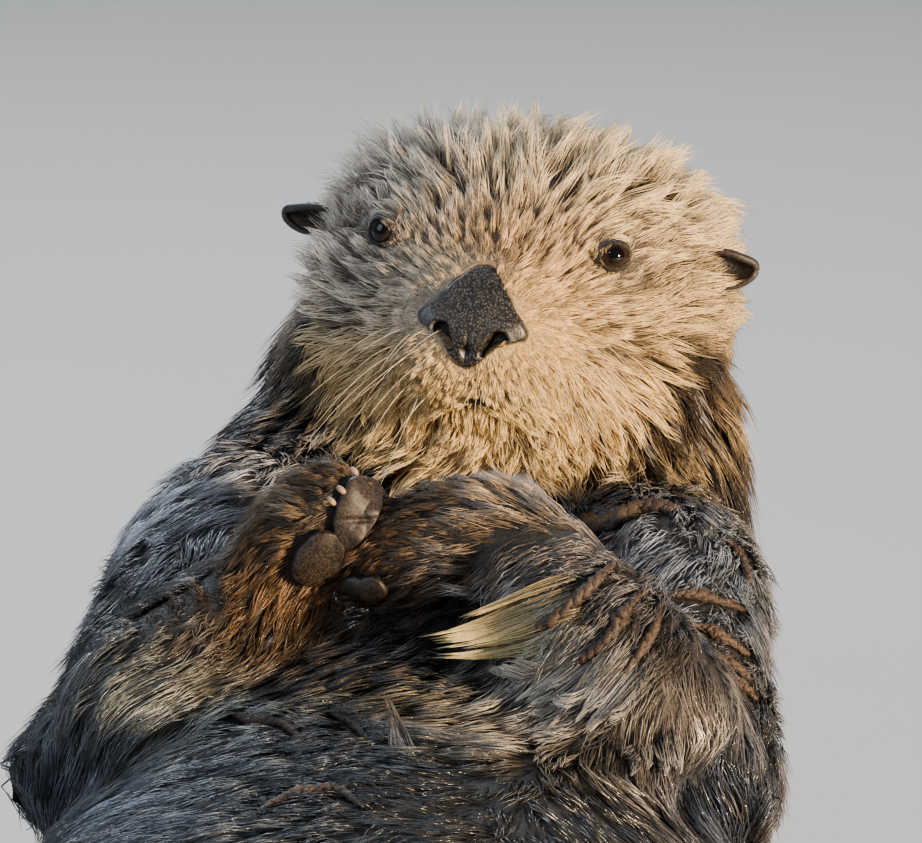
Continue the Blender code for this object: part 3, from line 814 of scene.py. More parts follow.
def face_shaped(points, weights):
    """Shapes the sockets, brows, whisker pads, closed mouth and the groove under the nose, under the hair."""
    p = to_head(points)
    side = np.abs(p[:, 0])
    folded = np.stack([side, p[:, 1], p[:, 2]], axis=1)
    push = 1.5 * near(folded, (15, -72, -26), (12, 14, 10))
    push -= 1.4 * near(p, (NOSE_MIDDLE[0], -76, -33), (1.6, 14, 7))
    lip = -38.5 - 0.012 * side**2 - 0.05 * side
    line = np.exp(-(((p[:, 2] - lip) / 1.5) ** 2)) * ramp(-side, -30, -16) * ramp(-p[:, 1], 30, 45)
    push -= 2.6 * line
    push -= 2.0 * near(folded, (36, -52, 18), (12, 16, 11))
    push += 1.0 * near(folded, (38, -48, 31), (12, 14, 5))
    ahead = unit(p - np.array((0, -20, -10)))
    head = on_head(weights)
    p = p + ahead * (push * ramp(head, 0.4, 0.9))[:, None]
    for side in (LEFT, RIGHT):
        p = np.where((head > 0.9)[:, None], eye_bulged(p, side), p)
    return from_head(p)


def face_finished(points, weights):
    """Lids over the eyes and a bed under the nose pad, on the skin alone."""
    p = to_head(points)
    head = on_head(weights) > 0.9
    ahead = unit(p - np.array((0, -20, -10)))
    bed = np.where(head, -9.5 * ramp(-past_nose(p), 0.0, 1.8), 0)
    p = p + ahead * bed[:, None]
    for side in (LEFT, RIGHT):
        p = np.where(head[:, None], eye_opened(p, side), p)
    return from_head(p)


def coat_layers(points, weights):
    """The coat's measures at each point of its outline, with their changes from place to place."""
    values = weights @ np.array([COAT[name][1:] for name in REGIONS], float)
    layers = {name: values[:, k] for k, name in enumerate(FIELDS)}
    layers["weights"] = weights
    layers["lie"] = lie_of(points, weights)
    layers["outer"] = points.copy()
    body = 1 - on_head(weights)
    crown = weights[:, REGIONS.index("crown")]
    layers["swerve"] = 0.34 * body * mottle(points, 0.020, 5) + 0.30 * crown * mottle(points, 0.013, 8)
    layers["patchy"] = np.exp((0.30 * body + 0.14) * mottle(points, 0.011, 6))
    p = to_head(points)
    standing = 0.62 * near(p, (-58, 0, 40), (26, 45, 36)) + 0.34 * near(p, (62, -5, 40), (24, 40, 34))
    layers["boost"] = 1 + (standing + 0.22 * crown) * (1 - body)
    mouth = near(p, (-1, -70, -40), (11, 24, 5)) * (1 - body)
    for field, less in (("length", 0.62), ("depth", 0.45), ("bunch", 0.35)):
        layers[field] = layers[field] * (1 - less * mouth)
    layers["calm"] = np.zeros(len(points))
    for middle, reach, _, _, _, sheet in PATCHES.values():
        flat = near(points, middle, reach) * (1 - on_head(weights)) * sheet
        layers["calm"] = np.minimum(layers["calm"] + flat, 1)
        layers["turn"] = layers["turn"] * (1 - 0.6 * flat)
        layers["gather"] = np.clip(layers["gather"] * (1 - 0.75 * flat), 0, 0.98)
        layers["length"] = layers["length"] * (1 + 0.15 * flat)
    return layers


def shorten_round_face(layers, points):
    """Keeps the hair round the eyes and the nose pad too short to cover them."""
    p = to_head(points)
    head = on_head(layers["weights"]) > 0.5
    eye_gap = np.where(head, np.maximum(past_eye(p), 0), 99)
    nose_gap = np.where(head, np.maximum(past_nose(p), 0), 99)
    layers["depth"] = np.minimum(layers["depth"], np.minimum(1.3 + 0.30 * eye_gap, 1.5 + 0.19 * nose_gap))
    middles = np.array([eye_middle(side) for side in (LEFT, RIGHT)])
    nearer = middles[(p[:, 0] < 0).astype(int)]
    towards = np.sum(unit(nearer - p) * (layers["lie"] @ HEAD_AXES), axis=1)
    room = np.where(towards > 0.1, 1.6 + 0.95 * eye_gap, 4.5 + 1.5 * eye_gap)
    layers["length"] = np.minimum(layers["length"], np.minimum(room, 4.0 + 0.30 * nose_gap))


def make_skin():
    """The skin: the outline of the flesh nodes, moved in by the coat's depth and shaped at the face."""
    points, faces = outer_shell()
    edges = edges_of(faces)
    points = relaxed(points, edges, 14)
    shells = {}
    for name in FLESH:
        shells[name] = BVHTree.FromBMesh(node_shape(name))
    flesh = shares_of(points, shells)
    for name in FEET:
        own = ramp(flesh[:, FLESH.index(name)], 0.5, 0.9)
        chosen = np.nonzero(own > 0)[0]
        spots = np.array([shells[name].find_nearest(place)[0] for place in points[chosen]])
        points[chosen] += (spots - points[chosen]) * own[chosen, None]
    weights = np.hstack([flesh[:, :1] * head_shares(to_head(points)), flesh[:, 1:]])
    weights = relaxed(weights, edges, 6, push=0.5)
    layers = coat_layers(points, weights)
    shorten_round_face(layers, points)
    depth = layers["depth"] * MM
    for _ in range(3):
        points = points - normals_of(points, faces) * depth[:, None] / 3
        points = relaxed(points, edges, 4)
    ground = face_shaped(points, weights)
    layers["root_tone"], layers["tip_tone"], layers["silver"] = markings_and_painted_light(layers["outer"], weights)
    return Skin(face_finished(ground, weights), ground, faces, layers)


def show_skin(skin):
    """The skin as a piece, with the unwrap that every tuft's patch lies on."""
    p = to_head(skin.points)
    weights = skin.layers["weights"]
    # Painted shade: the skin in and round the partings, the cords, the mouth's slit and under the pads is
    # made near black.
    dark = np.zeros(len(p))
    for offset in ((0, 0, 0), (2, 0, 0), (-2, 0, 0), (0, 2, 0), (0, -2, 0), (0, 0, 2), (0, 0, -2)):
        dark += skin.partings.hold(skin.ground + np.array(offset) * MM) / 4
    dark = np.maximum(dark, 0.8 * skin.layers["parted"] ** 2)
    muzzle = weights[:, :1]
    tone = skin.layers["root_tone"] * 0.55 * (1 - muzzle) + skin.layers["tip_tone"] * 0.55 * muzzle
    lids = np.where(on_head(weights) > 0.5, ramp(-past_eye(p), -1.7, -0.9), 0)
    tone = mixed(tone, (0.009, 0.0075, 0.0075), lids)
    tone = mixed(tone, (0.008, 0.005, 0.004), 0.9 * dark)
    piece = add_mesh(
        "skin", skin.points, skin.faces, skin_paint(), layers={"skin_tone": tone}, replaced=FLESH
    )
    bpy.ops.object.select_all(action="DESELECT")
    piece.select_set(True)
    bpy.context.view_layer.objects.active = piece
    piece.data.uv_layers.new(name="OFBake")
    bpy.ops.object.mode_set(mode="EDIT")
    bpy.ops.mesh.select_all(action="SELECT")
    bpy.ops.uv.smart_project(angle_limit=math.radians(70), island_margin=0.001)
    bpy.ops.object.mode_set(mode="OBJECT")
    corners = np.empty(len(skin.faces) * 6, np.float32)
    piece.data.uv_layers["OFBake"].data.foreach_get("uv", corners)
    skin.corners = corners.reshape(-1, 3, 2)


# The coat.

# The side of a tuft's patch of the unwrap, the most triangles of one piece of the coat, and how deep hairs
# are rooted and how far above the floor they stay (m).
PATCH_SIZE = 0.003
PIECE_TRIANGLES = 190000
ROOT_DEPTH = 0.0007
FLOOR_GAP = 0.0003

# The box round all that is parted, from the belly's middle to the chin, and the side of its cells (m).
PARTED_LOW, PARTED_HIGH, PARTED_CELL = (-0.19, 0.05, 0.16), (0.16, 0.37, 0.33), 0.0008


class Partings:
    """The cells of space in which no hair is laid: partings of the coat, the paw pads and the mouth."""

    def __init__(self, low, high, size):
        self.low, self.size = np.array(low), size
        self.cells = np.zeros(np.ceil((np.array(high) - self.low) / size).astype(int), bool)

    def cell_of(self, places):
        """The cell of each place, and whether the place is inside the box."""
        spots = np.round((places - self.low) / self.size).astype(int)
        inside = np.all((spots >= 0) & (spots < self.cells.shape), axis=-1)
        return np.clip(spots, 0, np.array(self.cells.shape) - 1), inside

    def clear(self, place, radius):
        """Keeps a ball of space free of hair."""
        span = np.arange(-math.ceil(radius / self.size), math.ceil(radius / self.size) + 1) * self.size
        ball = np.stack(np.meshgrid(span, span, span, indexing="ij"), axis=-1).reshape(-1, 3)
        spots, inside = self.cell_of(place + ball[np.linalg.norm(ball, axis=1) <= radius])
        self.cells[tuple(spots[inside].T)] = True

    def hold(self, places):
        """Whether each place is to be free of hair."""
        spots, inside = self.cell_of(places)
        return inside & self.cells[spots[..., 0], spots[..., 1], spots[..., 2]]

    def free_share(self, lines):
        """How far along each line, stepped on the first axis, a cleared cell is first met: 2 if none is."""
        steps = len(lines) - 1
        free = np.full(lines.shape[1], 2.0)
        for share in np.linspace(1, 0, 4 * steps + 1):
            low = min(int(share * steps), steps - 1)
            part = share * steps - low
            met = self.hold(lines[low] * (1 - part) + lines[low + 1] * part)
            free[met] = share
        return free


def part_coat(skin):
    """Clears the partings, the pads and the mouth of hair."""
    partings = Partings(PARTED_LOW, PARTED_HIGH, PARTED_CELL)
    marks = []
    steps = 50
    for points, wide in CORDS + SLITS:
        path, _ = laid(skin, points, steps)
        for place, share in zip(path, np.linspace(0, 1, steps)):
            partings.clear(place, (0.4 + 0.52 * wide * abs(math.sin(math.pi * share)) ** 0.6) * MM)
        marks.append(path[::4])
    marks = np.vstack(marks)
    gaps = np.min([np.linalg.norm(skin.ground - mark, axis=1) for mark in marks], axis=0)
    skin.layers["parted"] = ramp(-gaps, -0.017, -0.004)
    for (x, y), outline, _, _ in PADS.values():
        for reach in (0.0, 0.25, 0.5, 0.75, 0.92):
            for angle in np.linspace(0, 2 * math.pi, 40):
                far = pad_outline(outline, angle) * reach
                partings.clear(seen(skin, x + math.cos(angle) * far, y + math.sin(angle) * far)[0], 0.0012)
    return partings


def sown(skin, crowding, seed):
    """Evenly scattered root places for so many locks per square metre: face and share of its corners."""
    chance = np.random.default_rng(seed)
    a, b, c = (skin.ground[skin.faces[:, k]] for k in range(3))
    area = np.linalg.norm(np.cross(b - a, c - a), axis=1) / 2
    wanted = area * crowding[skin.faces].mean(axis=1)
    cell = np.floor(((a + b + c) / 3 + 2.0) / 0.004).astype(np.int64)
    code = np.zeros(len(cell), np.int64)
    for bit in range(11):
        for axis in range(3):
            code |= ((cell[:, axis] >> bit) & 1) << (3 * bit + axis)
    order = np.argsort(code)
    total = np.cumsum(wanted[order])
    marks = np.arange(int(total[-1])) + chance.uniform(0, 1, int(total[-1]))
    face = order[np.minimum(np.searchsorted(total, marks), len(order) - 1)]
    first, second = np.sqrt(chance.uniform(0, 1, len(face))), chance.uniform(0, 1, len(face))
    share = np.stack([1 - first, first * (1 - second), first * second], axis=1)
    return face, share


def combed(skin, face, share, length, turn, steps):
    """The path of each lock over the skin: places, normals and headings at even steps."""
    path = []
    for step in range(steps + 1):
        place = skin.mix(skin.ground, face, share)
        normal = unit(skin.mix(skin.normals, face, share))
        lie = skin.mix(skin.layers["lie"], face, share)
        ahead = unit(lie - normal * np.sum(lie * normal, axis=1)[:, None])
        side = np.cross(normal, ahead)
        bend = (turn * (0.5 + 0.5 * step / steps))[:, None]
        heading = ahead * np.cos(bend) + side * np.sin(bend)
        path.append(np.stack([place, normal, heading]))
        if step < steps:
            face, share = skin.nearest(place + heading * (length / steps)[:, None])
    return np.stack(path)


def clumped(skin, path, reach, seed, size, draw):
    """Draws locks together into clumps: how near each lock is to its clump's middle, and which clump."""
    steps = len(path) - 1
    chance = np.random.default_rng(seed)
    face, share = sown(skin, np.full(len(skin.points), 1 / (math.pi * (size * MM) ** 2)), seed)
    count = len(face)
    length = skin.mix(skin.layers["length"], face, share) * MM * reach
    turn = np.radians(skin.mix(skin.layers["turn"], face, share)) * chance.normal(0, 0.9, count)
    turn = turn + 1.3 * skin.mix(skin.layers["swerve"], face, share)
    middle = combed(skin, face, share, length, turn, steps)
    tree = KDTree(count)
    for number, place in enumerate(middle[0, 0]):
        tree.insert(place, number)
    tree.balance()
    clump = np.array([tree.find(place)[1] for place in path[0, 0]])
    gap = np.linalg.norm(middle[0, 0, clump] - path[0, 0], axis=1) / (1.3 * size * MM)
    for step in range(1, steps + 1):
        pull = middle[step, 0, clump] - path[step, 0]
        normal = path[step, 1]
        pull = pull - normal * np.sum(pull * normal, axis=1)[:, None]
        far = np.linalg.norm(pull, axis=1) / (3 * size * MM)
        path[step, 0] += pull * (draw * ramp(-far, -1.0, -0.6) * (step / steps) ** 1.1)[:, None]
    return np.clip(1 - gap, 0, 1), clump


def add_tufts(name, material, points, tones, homes):
    """Pieces of the coat, made of tufts of three-sided rings and a tip, each at its home in the unwrap."""
    total, per = points.shape[:2]
    rings = per // 3
    last = 3 * (rings - 1)
    pattern = [(0, 2, 1)]
    for start in range(0, last, 3):
        for k in range(3):
            a, b = start + k, start + (k + 1) % 3
            pattern += [(a, b, b + 3), (a, b + 3, a + 3)]
    pattern += [(last, last + 1, last + 3), (last + 1, last + 2, last + 3), (last + 2, last, last + 3)]
    pattern = np.array(pattern)
    across = np.tile((0.0, 0.5, 1.0), rings + 1)[:per]
    along = np.repeat(np.arange(rings + 1) / rings, 3)[:per]
    patch = np.stack([across, along], axis=1) * PATCH_SIZE
    per_piece = PIECE_TRIANGLES // len(pattern)
    for number, start in enumerate(range(0, total, per_piece)):
        rows = slice(start, min(start + per_piece, total))
        first_points = np.arange(rows.stop - rows.start) * per
        faces = (pattern[None] + first_points[:, None, None]).reshape(-1, 3)
        patches = (homes[rows, None] + patch[None]).reshape(-1, 2)
        add_mesh(
            f"{name}_{number + 1}",
            points[rows].reshape(-1, 3),
            faces,
            material,
            layers={"fur_tone": tones[rows].reshape(-1, 3)},
            patches=patches[faces.ravel()],
        )


def grow(
    skin, name, material, crowding, hairs, rings, stand=1.0, reach=1.0, thin=1.0, pale=1.0, clumps=None
):
    """Locks of solid tapered tufts over the skin, combed the way the hair lies, each lock drawn to a point.

    `crowding` is the locks per square metre at each point of the skin, `hairs` the tufts of a lock and
    `rings` the cross-sections of a tuft below its tip. `clumps` is the size of a clump (mm) and how far it
    draws together.
    """
    seed = SEEDS[name]
    chance = np.random.default_rng(seed)
    face, share = sown(skin, crowding, seed)
    count = len(face)
    wanted = FIELDS + ("root_tone", "tip_tone", "silver", "calm", "swerve", "patchy", "boost")
    layer = {key: skin.mix(skin.layers[key], face, share) for key in wanted}
    length = layer["length"] * MM * reach * chance.uniform(0.72, 1.15, count)
    turn = np.radians(layer["turn"]) * chance.normal(0, 0.62, count) + layer["swerve"]
    steps = 4
    path = combed(skin, face, share, length, turn, steps)
    inner, clump = np.full(count, 0.5), np.arange(count)
    if clumps is not None:
        size, draw = clumps
        inner, clump = clumped(skin, path, reach, seed + 40, size, draw * (1 - 0.65 * layer["calm"]))
    free = skin.partings.free_share(path[:, 0])
    kept = free > 0.10
    face, share, free, path = face[kept], share[kept], free[kept], path[:, :, kept]
    layer = {key: values[kept] for key, values in layer.items()}
    inner, clump = inner[kept], clump[kept]
    count = len(face)
    high = 0.5 + (chance.uniform(0, 1, count) - 0.5) * (1 - 0.6 * layer["calm"])
    lift = layer["depth"] * MM * stand * (0.50 + 0.65 * high) * layer["boost"] * (0.72 + 0.56 * inner)
    silver = chance.uniform(0, 1, count) < layer["silver"]
    # Painted shade: locks that lie lower, and those at a clump's edge, are made darker, as if shaded by the
    # higher ones; the rest is random tone.
    lock_tone_and_shade = (0.50 + 0.75 * high) * np.exp(chance.normal(0, 0.16, count) * (1 - 0.6 * layer["calm"]))
    lock_tone_and_shade = lock_tone_and_shade * layer["patchy"] * (0.80 + 0.40 * inner)
    lock_tone_and_shade = lock_tone_and_shade * np.exp(chance.normal(0, 0.20, clump.max() + 1))[clump]
    home = np.einsum("ij,ijk->ik", share, skin.corners[face])

    lock = np.repeat(np.arange(count), hairs)
    total = len(lock)
    slot_in_lock = np.tile(np.arange(hairs), count)
    across = (slot_in_lock + 0.5 + chance.uniform(-0.4, 0.4, total)) / hairs * 2 - 1
    shift = chance.uniform(-1.0, 1.0, total)
    bunch = layer["bunch"][lock] * MM
    cut = chance.uniform(0.74, 1.0, total) - 0.12 * across**2
    cut = np.minimum(cut, free[lock] * chance.uniform(0.85, 1.22, total))
    sway = chance.normal(0, 0.16, total)
    fork = np.where(chance.uniform(0, 1, total) < 0.5, -1, 1) * chance.uniform(0.0, 0.35, total)
    own_lift = chance.uniform(0.75, 1.12, total)
    width = layer["width"][lock] * MM * thin * chance.uniform(0.75, 1.3, total)
    shade = lock_tone_and_shade[lock] * np.exp(chance.normal(0, 0.20, total)) * pale

    sections, tones = [], []
    for ring in range(rings + 1):
        s = ring / rings
        along = s * cut * steps
        low = np.minimum(along.astype(int), steps - 1)
        part = (along - low)[:, None]
        place, normal, heading = (
            path[low, k, lock] * (1 - part) + path[low + 1, k, lock] * part for k in range(3)
        )
        side = np.cross(normal, heading)
        gather = layer["gather"][lock] * s**1.2
        drift = bunch * (across * (1 - gather) + fork * s + sway * math.sin(3.0 * s))
        height = -ROOT_DEPTH + lift[lock] * own_lift * s ** layer["rise"][lock]
        centre = place + heading * (shift * bunch * (1 - 0.5 * s))[:, None]
        centre = centre + side * drift[:, None] + normal * height[:, None]
        half = (width / 2 * (1 - s) ** 0.55 * (0.8 + 0.6 * s))[:, None]
        if ring < rings:
            sections += [centre - side * half, centre + normal * half * 1.1, centre + side * half]
        else:
            sections.append(centre)
        glow = ramp(s - layer["fade"][lock], -0.34, 0.34)[:, None]
        tip = np.where(silver[lock][:, None], np.array(SILVER), layer["tip_tone"][lock])
        tone = (layer["root_tone"][lock] * (1 - glow) + tip * glow) * shade[:, None]
        tones += [tone] * (3 if ring < rings else 1)

    points = np.stack(sections, axis=1)
    points[:, :, 2] = np.maximum(points[:, :, 2], FLOOR_GAP)
    tones = limited(np.stack(tones, axis=1))
    add_tufts(name, material, points, tones, home[lock])


def haired(skin):
    """1 where hair grows: not under the nose, on the lids' edges or in the eye openings."""
    p = to_head(skin.ground)
    head = on_head(skin.layers["weights"]) > 0.5
    return np.where(head, ramp(past_eye(p), 0.3, 0.8) * ramp(past_nose(p), 0.2, 0.9), 1)


def grow_coat(skin):
    """Grows each kind of hair: finest on the face, and coarser where the body is turned from the camera."""
    layers = skin.layers
    weights = layers["weights"]
    head = on_head(weights)
    shown = ramp(-(skin.normals @ AHEAD), -0.45, -0.10) * ramp(skin.points[:, 1], -0.01, 0.05)
    packed = 1 / (math.pi * (layers["bunch"] * MM) ** 2) * haired(skin)
    dry = coat_paint("dry_head_fur", 0.55, 0.0, 0.3)
    wet = coat_paint("wet_body_fur", 0.50, 1.0, 0.15)
    damp = coat_paint("damp_paw_fur", 0.45, 0.15, 0.3)
    wool = packed * head
    grow(skin, "head_underfur", dry, wool, 3, 2, stand=0.5, reach=0.5, pale=0.5)
    smooth = weights[:, 0] + weights[:, 1]
    front = wool * shown
    grow(skin, "face_fur", dry, front * smooth * 1.35, 10, 3)
    rough = front * (1 - smooth) * (1.65 - 0.35 * weights[:, REGIONS.index("crown")])
    grow(skin, "head_fur", dry, rough, 11, 3, pale=1.15, clumps=(5.0, 0.5))
    grow(skin, "nape_fur", dry, wool * (1 - shown) * 1.4, 5, 3, thin=1.4, clumps=(6.0, 0.4))
    paws = weights[:, [REGIONS.index("forepaw_left"), REGIONS.index("forepaw_right")]].sum(axis=1)
    grow(skin, "paw_fur", damp, packed * paws * 1.25, 9, 2, thin=0.9, clumps=(4.0, 0.5))
    coarse = packed * ((1 - head) * (1 - paws))
    grow(skin, "front_fur", wet, coarse * shown * 1.35, 9, 2, thin=0.86, clumps=(7.5, 0.75))
    grow(skin, "parting_fur", wet, coarse * layers["parted"] * 1.7, 9, 2, reach=0.42, thin=0.8)
    grow(skin, "back_fur", wet, coarse * (1 - shown) * 0.80, 3, 2, thin=1.8, clumps=(9.0, 0.7))


# Eyes, nose and ears.


def make_eyes():
    """Eyeballs with a dark pupil, a brown iris and a clear bulging front, as one glossy surface."""
    paint = Paint("otter_eye", roughness=0.03, specular_ior_level=0.28)
    colours = paint.steps(
        paint.attribute("from_pupil", "Fac"),
        (0.0, (0.0015, 0.0012, 0.0010)),
        (0.235, (0.0016, 0.0012, 0.0010)),
        (0.265, (0.010, 0.0060, 0.0042)),
        (0.42, (0.030, 0.0160, 0.0090)),
        (0.56, (0.010, 0.0055, 0.0035)),
        (0.62, (0.004, 0.003, 0.003)),
    )
    paint.colour(colours, paint.greys(paint.noise(900.0, 3), (0.3, 0.6), (0.7, 1.5)))
    steps, spokes = 40, 48
    tilt = np.repeat(np.linspace(0, math.pi, steps + 1), [1] + [spokes] * (steps - 1) + [1])
    turn = np.concatenate([[0], np.tile(np.arange(spokes) / spokes * 2 * math.pi, steps - 1), [0]])
    radius = EYE_RADIUS + 0.35 * np.exp(-((tilt / 0.55) ** 2))
    points = np.stack([np.cos(turn) * np.sin(tilt), np.sin(turn) * np.sin(tilt), np.cos(tilt)], axis=1)
    points = points * radius[:, None]
    for side in (LEFT, RIGHT):
        centre, gaze, across, upward = eye_frame(side)
        name = "eye_" + SIDE_NAMES[side]
        add_mesh(
            name + "ball",
            from_head(points @ np.array((across, upward, gaze)) + centre),
            capped(steps - 1, spokes),
            paint.material,
            layers={"from_pupil": tilt / math.pi * 2},
            replaced=(name,),
        )


# The nose's outline from its top round its left side: across and up from its middle, in mm.
NOSE_OUTLINE = (
    (0, 18.8), (3.6, 17.8), (6.6, 14.2), (10.6, 9.2), (14.6, 4.2), (18.2, 0.2), (20.2, -2.8), (19.6, -5.2),
    (16.8, -6.4), (13.2, -7.9), (10.0, -10.2), (7.4, -13.0), (4.6, -16.2), (2.2, -18.2), (0, -19.2),
)


def nose_view(p):
    """Points of the head as seen on the nose: across and up from its middle, and how far behind it."""
    q = p - np.array(NOSE_MIDDLE)
    across = q[:, 0] * math.cos(NOSE_ROLL) - q[:, 2] * math.sin(NOSE_ROLL)
    up = q[:, 0] * math.sin(NOSE_ROLL) + q[:, 2] * math.cos(NOSE_ROLL)
    return across, up, -q[:, 1]


def nose_edge(bearing):
    """How far the nose's outline is from its middle, by the angle from its top."""
    across, up = np.array(NOSE_OUTLINE, float).T
    return np.interp(bearing, np.arctan2(across, up), np.hypot(across, up))


def nose_reach(across, up):
    """How far out a point of the nose is: 0 at its middle, 1 on its outline."""
    return np.hypot(across, up) / nose_edge(np.arctan2(np.abs(across), up))


def nose_front(across, up):
    """How far forward the nose pad stands at a place on it."""
    side = np.abs(across)
    front = np.interp(up, (-19, -14, -8, 0, 8, 14, 19), (-1.0, 0.8, 2.0, 1.4, -2.4, -6.6, -11.0))
    front = front + 0.8 - 3.9 * (side / 20) ** 1.8
    wing = np.exp(-(((side - 14.5) / 4.0) ** 2 + ((up + 2.2) / 3.4) ** 2))
    front = front + 0.7 * wing
    outer, inner_end = np.array((10.4, -6.6)), np.array((6.2, -12.0))
    nostril = np.linalg.norm(inner_end - outer)
    run = (inner_end - outer) / nostril
    local = np.stack([side - outer[0], up - outer[1]], axis=-1)
    along = np.clip(local @ run, 0, nostril)
    off = np.linalg.norm(local - along[..., None] * run, axis=-1)
    width = 3.0 - 1.7 * along / 6.8
    front = front - 7.5 * ramp(-off, -width - 0.6, -width + 1.0)
    inner = ramp(-(side + up * 0.9), -4.0, 1.0)
    front = front + 0.5 * (1 - inner) * np.exp(-(((off - width - 1.2) / 0.9) ** 2))
    groove = np.exp(-((side / 0.8) ** 2)) * ramp(-up, 4, 9)
    pit = np.exp(-((side / 1.7) ** 2 + ((up + 12.4) / 1.9) ** 2))
    return front - 0.8 * groove - 1.9 * pit


def make_nose():
    """The pebbled nose pad, with its nostrils and the groove below them."""
    paint = Paint("nose_leather", roughness=0.42, coat_weight=0.45, coat_roughness=0.34)
    cells = paint.cells(1150.0)
    fine = paint.noise(1600.0, 3)
    # Painted highlight and shade: pebble tops lighter, the crevices between them near black.
    base = paint.steps(
        cells, (0.05, (0.100, 0.094, 0.092)), (0.38, (0.028, 0.026, 0.026)), (0.60, (0.0015, 0.0013, 0.0015))
    )
    paint.colour(base, paint.greys(fine, (0.35, 0.5), (0.65, 1.6)))
    ridged = paint.relief(cells, -1.0, 0.0030)
    paint.relief(fine, 0.5, 0.0003, ridged)
    rings, spokes = 40, 132
    bearing = np.arange(spokes) / spokes * 2 * math.pi
    edge = nose_edge(np.minimum(bearing, 2 * math.pi - bearing))
    edge = (edge + np.roll(edge, 1) * 0.5 + np.roll(edge, -1) * 0.5) / 2
    reach = np.concatenate([np.linspace(0, 1, rings + 1)[1:], [1.0, 0.99, 0.90]])
    back = np.concatenate([np.zeros(rings - 3), [0.12, 0.45, 1.1], [2.4, 6.0, 9.0]])
    points = [np.array((0.0, -float(nose_front(np.zeros(1), np.zeros(1))[0]), 0.0))[None]]
    for share, sunk in zip(reach, back):
        across, up = np.sin(bearing) * edge * share, np.cos(bearing) * edge * share
        points.append(np.stack([across, -nose_front(across, up) + sunk, up], axis=1))
    points.append(np.array((0, 11.0, 0))[None])
    roll = np.array(Matrix.Rotation(NOSE_ROLL, 3, "Y"))
    add_mesh(
        "nose_pad",
        from_head(np.vstack(points) @ roll.T + np.array(NOSE_MIDDLE)),
        capped(len(reach), spokes),
        paint.material,
        replaced=("nose",),
    )


EAR_ROWS, EAR_SPOKES, EAR_HAIRS = 16, 40, 300


def ear_sheets(side):
    """The front and rear sheets of an ear's leaf, and how far out and where round it their points are."""
    share = np.repeat(np.linspace(0, 1, EAR_ROWS), EAR_SPOKES)
    bearing = np.tile(np.arange(EAR_SPOKES) / EAR_SPOKES * 2 * math.pi, EAR_ROWS)
    tall, shift = (8.0, 0.0) if side == LEFT else (6.4, 1.8)
    out = 75.5 + shift + 10.4 * share * np.cos(bearing)
    up = 16.4 + shift + tall * share * np.sin(bearing) * (1 - 0.18 * share * np.cos(bearing))
    rolled = ramp(np.sin(bearing), 0.25, 0.95) * ramp(share, 0.60, 1.0)
    back = -6.5 + 5.0 * (1 - share**2) + 0.25 * (out - 75.5) - 3.6 * rolled
    front = np.stack([side * out, back, up - 2.4 * rolled], axis=1)
    rear = front + np.stack([0 * out, 0.5 + 1.5 * (1 - share**6), 0.6 * rolled], axis=1)
    return front, rear, share, bearing


def ear_rim(front):
    """The rounded roll along the top edge of an ear."""
    path = front[-EAR_SPOKES:][np.arange(-11, 19) % EAR_SPOKES] + np.array((0, 0.7, 0))
    lines = [np.convolve(np.pad(line, 2, "edge"), np.full(5, 0.2), "valid") for line in path.T]
    path = np.stack(lines, axis=1)
    round_ends = np.sin(math.pi * np.linspace(0.04, 0.98, len(path))) ** 0.5
    return tubes([from_head(path)], [3.0 * MM * round_ends], 12)


